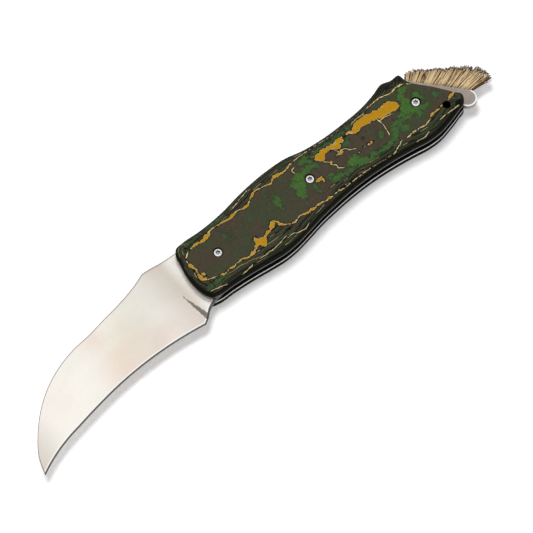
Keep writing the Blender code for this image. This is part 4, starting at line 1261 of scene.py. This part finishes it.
        # Lines across the blade, a painted highlight on the bevel, a darker grey on the plunge facet, and
        # painted shade along the edge, the choil and the spine
        lines = f.noise(f.scaled((1.0, 0.06, 1)), 7.0, 4, 0.7, 5)
        scuffs = f.noise(f.scaled((0.5, 1, 1)), 0.5, 5, 0.6, 9)
        coarse = f.noise(f.scaled((0.3, 1.0, 1)), 2.4, 3, 0.6, 13)
        shadow = dimmed(settings.cool, 0.08)
        edge = f.least(f.value("edge"), f.value("choil")) + f.wobble(spot, 2.0, 0.04, 2, 15)
        base = f.mix(f.ramp(lines, 0.35, 0.75, 0.0, 0.10), base, dimmed(settings.cool, 0.8))
        base = f.mix(f.ramp(edge, 1.00, 0.80, 0.0, 0.9), base, edge_highlight)
        plunge = f.tone(settings.dull, coarse, 0.75, 1.2)
        base = f.mix(f.ramp(f.value("plunge"), 0.2, 0.8, 0.0, 0.85), base, plunge)
        base = f.mix(f.ramp(edge, 0.62, 0.42, 0.0, 0.95), base, shadow)
        base = f.mix(f.ramp(f.value("back"), 0.30, 0.14, 0.0, 0.75), base, shadow)
        rough = f.ramp(lines, 0.2, 0.8, settings.roughness - 0.05, settings.roughness + 0.07)
        rough = rough + f.ramp(scuffs, 0.3, 0.8, -0.02, 0.05)
        f.set(Base_Color=base, Roughness=rough, Normal=f.bump(lines, 0.000004, 0.3), Metallic=0.6)
        return f.material


class KNIFE_OT_screws(bpy.types.Operator):
    """Make the six screws with their six-lobed sockets"""

    bl_idname = "knife.screws"
    bl_label = "Make screws"

    def execute(self, context):
        settings = context.scene.knife_steel
        finish = self.finish(settings)
        middle, rear = (at_handle(place) for place in scale_screw_shares)
        for side, place in ((1, "upper"), (-1, "lower")):
            for name, spot in (("pivot", pivot), ("middle", middle), ("rear", rear)):
                end = pivot_screw_tip if name == "pivot" else half_slot + seat_gap
                screw = self.build(f"{place}_{name}_screw_head", spot, side, end, settings)
                apart = [math.dist(v.co[:2], spot) - settings.socket_radius for v in screw.data.vertices]
                keep_value(screw.data, "socket", [(gap - tiny) * to_mm for gap in apart])
                dress(screw, finish, "handle", "screw_steel", f"{place}_{name}_screw")
        return {"FINISHED"}

    def build(self, name, spot, side, end, settings):
        """A domed head and its shank, with the socket cut into it."""
        rounding = settings.head_round
        profile = [(0, head_top)]
        for step in range(dome_steps + 1):
            turn = math.pi / 2 * step / dome_steps
            fall = rounding * (1 - math.cos(turn))
            profile.append((head_radius - rounding * (1 - math.sin(turn)), head_top - fall))
        profile += [(head_radius, head_seat), (shank_radius, head_seat), (shank_radius, end), (0, end)]
        screw = turned(name, profile, spot, flip=side < 0)
        lobes = []
        for i in range(lobe_points):
            turn = 2 * math.pi * i / lobe_points
            reach = 1 - lobe_share + lobe_share * math.cos(lobe_count * turn)
            lobes.append(spot + at_turn(turn, settings.socket_radius * reach))
        return drill(screw, [plate(name + "_socket", lobes, 2 * settings.socket_depth, side * head_top)])

    def finish(self, settings):
        """Bright steel, with painted shade inside the socket: dark on its walls, and mostly dark on its
        floor.
        """
        f = Finish("bright_screw_steel")
        swirl = f.noise(f.scaled(), 2.5, 4, 0.6, 19)
        height = abs(f.parts(f.scaled())[2])
        depth = settings.socket_depth
        top = f.ramp(height, (head_top - 0.3 * depth) * to_mm, (head_top - 0.1 * depth) * to_mm)
        outside = f.ramp(f.value("socket"), 0.0, 0.1)
        floor = (head_top - depth) * to_mm
        bottom = f.ramp(height, floor + 0.04, floor + 0.02)
        # Painted shade: the socket's walls take the shade colour, and its floor most of it
        out_of_shade = f.most(f.most(top, outside), bottom * 0.45)
        base = f.mix(out_of_shade, settings.painted_shade, f.tone(settings.bright, swirl, 0.8, 1.0))
        rough = f.ramp(swirl, 0.3, 0.7, 0.16, 0.28)
        f.set(Base_Color=base, Roughness=rough, Normal=f.bump(swirl, 0.000006, 0.4), Metallic=1.0)
        return f.material


class KNIFE_OT_carrier(bpy.types.Operator):
    """Make the steel brush carrier with its thumb tab"""

    bl_idname = "knife.carrier"
    bl_label = "Make brush carrier"

    def execute(self, context):
        carrier = plate("brush_carrier_plate", self.outline(), carrier_thickness, 0, carrier_rim)
        start, span, along, out = brush_frame()
        first, last = start + along * backing_margin, start + along * (span - backing_margin)
        inward, outward = out * backing_depth, out * tab_radius
        groove = [first - inward, last - inward, last + outward, first + outward]
        pin_hole = bore("carrier_bore", brush_pin_radius + pivot_clearance, at_handle(brush_pin_share),
                        carrier_thickness)
        drill(carrier, [plate("carrier_groove", groove, backing_height, 0), pin_hole])
        # The faces of the broken rim lean: they are neither upright nor level
        broken = [0.1 < face.normal.z < 0.98 for face in carrier.data.polygons]
        keep_value(carrier.data, "rim", broken, "FACE")
        dress(carrier, self.finish(context.scene.knife_steel), "brush", "frame_steel", "brush_carrier")
        return {"FINISHED"}

    def outline(self):
        """The hub, the bristle line, the thumb tab and the notch of the open stop."""
        start, end = at_handle(brush_line_start_share), at_handle(brush_line_end_share)
        tab = at_handle(tab_share)
        first = math.atan2((end - tab).y, (end - tab).x)
        notch_radius = lanyard_bore + lanyard_wall + brush_stop_gap
        tab_arc = arc(tab, tab_radius, first, tab_end_angle, 40)
        notch = arc(at_handle(lanyard_share), notch_radius, 0, notch_end_angle, 20)
        hub = arc(at_handle(brush_pin_share), brush_hub_radius, hub_start_angle, hub_end_angle, 32)
        side = [at_handle(place) for place in reversed(carrier_corner_shares)]
        return [start, end] + tab_arc + notch + [at_handle(carrier_waist_share)] + hub + side

    def finish(self, settings):
        """Satin steel, with a painted highlight on its broken rim and along the tab's round edge."""
        f = Finish("satin_carrier_steel")
        lines = f.noise(f.scaled(), 5.0, 4, 0.7, 23)
        tone = f.tone(settings.carrier, f.noise(f.scaled(), 0.5, 3, 0.6, 27), 0.88, 1.06)
        tab, edge = at_handle(tab_share) * to_mm, tab_radius * to_mm
        x, y, z = f.parts(f.scaled(move=(-tab.x, -tab.y, 0)))
        reach = f.math("SQRT", x * x + y * y)
        # Painted highlight: a white band along the upper rim of the tab's round edge, and on the broken
        # rim's faces
        tab_highlight = f.ramp(reach, edge - 0.5, edge - 0.4) * f.ramp(reach, edge + 0.1, edge + 0.05)
        tab_highlight = tab_highlight * f.ramp(x * 0.40 - y * 0.92, -0.5, -0.2) * f.ramp(abs(z), 0.85, 0.95)
        rim = f.most(f.value("rim"), tab_highlight)
        base = f.mix(rim, f.tone(tone, lines, 0.94, 1.03), highlight_white)
        rough = f.ramp(lines, 0.2, 0.8, 0.28, 0.40) - rim * 0.1
        metal = 0.8 - rim * 0.3
        f.set(Base_Color=base, Roughness=rough, Metallic=metal, Normal=f.bump(lines, 0.000005, 0.4))
        return f.material


class KNIFE_OT_bristles(bpy.types.Operator):
    """Make the tufts of bristles"""

    bl_idname = "knife.bristles"
    bl_label = "Make bristles"

    def execute(self, context):
        settings = context.scene.knife_brush
        bristles = self.build("bristle_tufts", settings)
        dress(bristles, self.finish(settings), "brush", "bristle", "bristles", sharp=180)
        return {"FINISHED"}

    def build(self, name, settings):
        """Tapered, slightly bent strands. Those of a tuft lean together."""
        start, span, along, out = brush_frame()
        inset = backing_margin + 2 * settings.strand_radius
        draw = random.Random(brush_seed)
        tufts = []
        for i in range(settings.tuft_count):
            place = (i + 0.5 + tuft_jitter * (draw.random() - 0.5)) / settings.tuft_count
            tufts.append((place, draw.gauss(0, 1), draw.random()))
        ends, tones = [], []

        def fill(shape):
            for _ in range(settings.strand_count):
                place = draw.random()
                tuft, lean, tuft_tone = min(tufts, key=lambda item: abs(item[0] - place))
                leaned = min(max(place + (tuft - place) * tuft_pull, 0), 1)
                angle, reach = self.fan_at(leaned)
                angle += math.radians(tuft_lean * lean + draw.gauss(0, strand_scatter))
                reach *= 1 - strand_cut * draw.random() ** 2 - tuft_cut * abs(lean)
                # How high in the brush the strand lies, from -1 to 1
                level = (draw.random() - 0.5) * 2
                low = level * root_half
                high = level * settings.spread * (0.7 + 0.3 * draw.random())
                root = start + along * (inset + (span - 2 * inset) * place) - out * backing_depth * 0.5
                base = start + along * (inset + (span - 2 * inset) * leaned)
                tip = base + at_turn(angle) * reach
                sway = left_of(tip - root) * draw.gauss(0, strand_sway)
                hook = left_of(tip - root).normalized() * draw.gauss(0, settings.hook)
                # Painted shade: strands lower in the brush are painted darker and those on top fairer,
                # apart from a few dark ones
                layer = min(max(1.8 * level - 0.3, 0), 1)
                fair = draw.random()
                tone = layer * (0.25 + 0.75 * fair if fair > dark_strands else 0.15) + 0.1 * tuft_tone
                rings = []
                for step in range(strand_steps + 1):
                    t = step / strand_steps
                    spot = root.lerp(tip, t) + sway * (4 * t * (1 - t))
                    spot += hook * (max(0, t - hook_start) / (1 - hook_start)) ** 2
                    height = low + (high - low) * t**1.3
                    radius = settings.strand_radius * (1.0 - strand_taper * t**2)
                    direction = (tip - root).normalized()
                    rings.append(self.ring(shape, spot, height, radius, direction))
                    ends.extend([t] * len(rings[-1]))
                    tones.extend([tone] * len(rings[-1]))
                for lower, upper in zip(rings, rings[1:]):
                    for i in range(4):
                        shape.faces.new((lower[i], lower[(i + 1) % 4], upper[(i + 1) % 4], upper[i]))
                shape.faces.new(rings[0])
                shape.faces.new(rings[-1])

        bristles = new_piece(name, fill)
        keep_value(bristles.data, "reach", ends)
        keep_value(bristles.data, "tone", tones)
        return bristles

    def fan_at(self, place):
        """The direction and length of the bristles at a share of the brush line."""
        shares, degrees, lengths = zip(*bristle_fan_shares)
        reach = np.interp(place, shares, lengths) * bristle_length
        return math.radians(np.interp(place, shares, degrees)), reach

    def ring(self, shape, spot, height, radius, direction):
        """Four points round a strand."""
        across = left_of(direction)
        turns = [math.pi / 2 * i for i in range(4)]
        return [
            shape.verts.new((*(spot + across * radius * math.cos(turn)), height + radius * math.sin(turn)))
            for turn in turns
        ]

    def finish(self, settings):
        """Boar bristle: straw and brown strands, with painted shade at the root, and grey at the tips."""
        f = Finish("boar_bristle")
        reach = f.value("reach")
        tone = f.value("tone") + f.wobble(f.scaled((1, 1, 3)), 1.5, 0.2, 2, 5)
        base = f.mix(f.ramp(tone, 0.1, 0.9), settings.dark, settings.fair)
        # Painted shade at the roots, where the strands crowd together
        base = f.mix(f.ramp(reach, 0.34, 0.08, 0.0, 0.55), base, dimmed(settings.dark, 0.35))
        far = reach + f.wobble(f.scaled(), 1.2, 0.08, 1, 9)
        base = f.mix(f.ramp(far, 0.90, 0.96, 0.0, 0.95), base, settings.tip)
        rough = f.ramp(f.noise(f.scaled((4, 4, 4)), 2.0, 3, 0.6, 11), 0.3, 0.7, 0.5, 0.68)
        f.set(Base_Color=base, Roughness=rough, Specular_IOR_Level=0.3)
        return f.material


class KNIFE_OT_stage(bpy.types.Operator):
    """Make the floor, the light and the camera"""

    bl_idname = "knife.stage"
    bl_label = "Make stage"

    def execute(self, context):
        settings = context.scene.knife_stage
        context.scene.view_settings.view_transform = "Standard"
        self.make_floor(settings)
        self.make_sky(context, settings)
        self.make_key(settings)
        self.make_camera(context, settings)
        return {"FINISHED"}

    def make_floor(self, settings):
        """A sheet of pale paper that shows white to the camera, and keeps the knife's shadow."""
        half = settings.floor_size / 2
        corners = [(-half, -half, 0), (half, -half, 0), (half, half, 0), (-half, half, 0)]
        mesh = bpy.data.meshes.new("floor")
        mesh.from_pydata(corners, [], [(0, 1, 2, 3)])
        floor = bpy.data.objects.new("floor", mesh)
        floor.location.z = -seat_gap
        bpy.context.scene.collection.objects.link(floor)
        f = Finish("pale_paper")
        paper = f.mix(f.noise(f.scaled(), 0.05, 2, 0.5, 3), settings.paper, (0.95, 0.95, 0.95))
        f.set(Base_Color=paper, Roughness=0.9, Specular_IOR_Level=0.1)
        plain = f.shader.outputs[0]
        lift = f.add("Emission", {"Color": (1, 1, 1), "Strength": floor_lift}).outputs[0]
        lifted = f.add("AddShader", {0: plain, 1: lift}).outputs[0]
        seen = f.add("LightPath", {}).outputs["Is Camera Ray"]
        f.put(f.tree.nodes["Material Output"].inputs["Surface"], f.choose(seen, plain, lifted))
        mesh.materials.append(f.material)

    def make_sky(self, context, settings):
        """Soft light from all round, which the camera and bright metal see as a white studio."""
        world = bpy.data.worlds.new("studio")
        world.use_nodes = True
        context.scene.world = world
        n = Nodes(world.node_tree)
        path = n.add("LightPath", {}).outputs
        soft = n.tree.nodes["Background"]
        n.put(soft.inputs["Color"], (1, 1, 1))
        n.put(soft.inputs["Strength"], settings.sky_strength)
        up = n.parts(n.add("TexCoord", {}).outputs["Generated"])[2]
        wall = n.add("ValToRGB", {"Fac": up})
        while len(wall.color_ramp.elements) < len(studio_wall):
            wall.color_ramp.elements.new(0.5)
        for element, (place, glow) in zip(wall.color_ramp.elements, studio_wall):
            element.position = place
            element.color = (glow, glow, glow, 1)
        studio = n.add("Background", {"Color": wall.outputs[0], "Strength": 1.0})
        white = n.add("Background", {"Color": (1, 1, 1), "Strength": 1.0})
        shiny = n.most(path["Is Glossy Ray"], path["Is Transmission Ray"])
        lit = n.choose(shiny, soft.outputs[0], studio.outputs[0])
        seen = n.choose(path["Is Camera Ray"], lit, white.outputs[0])
        n.put(n.tree.nodes["World Output"].inputs["Surface"], seen)

    def make_key(self, settings):
        """A wide soft key light from the spine's side."""
        lamp = bpy.data.lights.new("key", "SUN")
        lamp.energy = settings.key_strength
        lamp.angle = key_angle
        key = bpy.data.objects.new("key", lamp)
        key.rotation_mode = "QUATERNION"
        key.rotation_quaternion = key_direction.to_track_quat("-Z", "Y")
        key.visible_glossy = False
        bpy.context.scene.collection.objects.link(key)

    def make_camera(self, context, settings):
        """The photograph's view: a long lens, from the belly side, high above the floor."""
        lens = bpy.data.cameras.new("camera")
        lens.lens = lens_length
        lens.sensor_width = sensor_width
        lens.clip_start, lens.clip_end = 0.1, 100
        camera = bpy.data.objects.new("camera", lens)
        level = math.cos(view_rise)
        back = Vector((math.sin(view_turn) * level, -math.cos(view_turn) * level, math.sin(view_rise)))
        distance = settings.view_width * lens.lens / lens.sensor_width
        camera.location = hinge + view_aim + back * distance
        camera.rotation_mode = "QUATERNION"
        camera.rotation_quaternion = (-back).to_track_quat("-Z", "Y")
        bpy.context.scene.collection.objects.link(camera)
        context.scene.camera = camera


class KNIFE_PT_panel(bpy.types.Panel):
    """The knife's sizes, colours and pieces"""

    bl_idname = "KNIFE_PT_panel"
    bl_label = "Mushroom knife"
    bl_space_type = "VIEW_3D"
    bl_region_type = "UI"
    bl_category = "Knife"

    def draw(self, context):
        for name, group in settings_groups.items():
            box = self.layout.box()
            box.label(text=group.__doc__)
            for key in group.__annotations__:
                box.prop(getattr(context.scene, name), key)
        for operator in operators:
            self.layout.operator(operator.bl_idname)


settings_groups = {
    "knife_scale": KnifeScaleSettings,
    "knife_blade": KnifeBladeSettings,
    "knife_steel": KnifeSteelSettings,
    "knife_brush": KnifeBrushSettings,
    "knife_stage": KnifeStageSettings,
}
operators = (
    KNIFE_OT_scales,
    KNIFE_OT_liners,
    KNIFE_OT_blade,
    KNIFE_OT_screws,
    KNIFE_OT_carrier,
    KNIFE_OT_bristles,
    KNIFE_OT_stage,
)


def register():
    for group in settings_groups.values():
        bpy.utils.register_class(group)
    for name, group in settings_groups.items():
        setattr(bpy.types.Scene, name, PointerProperty(type=group))
    for item in operators + (KNIFE_PT_panel,):
        bpy.utils.register_class(item)


def unregister():
    for item in reversed(operators + (KNIFE_PT_panel,)):
        bpy.utils.unregister_class(item)
    for name in settings_groups:
        delattr(bpy.types.Scene, name)
    for group in settings_groups.values():
        bpy.utils.unregister_class(group)


def main():
    register()
    bpy.ops.knife.scales()
    bpy.ops.knife.liners()
    bpy.ops.knife.blade()
    bpy.ops.knife.screws()
    bpy.ops.knife.carrier()
    bpy.ops.knife.bristles()
    bpy.ops.knife.stage()


if __name__ == "__main__":
    main()
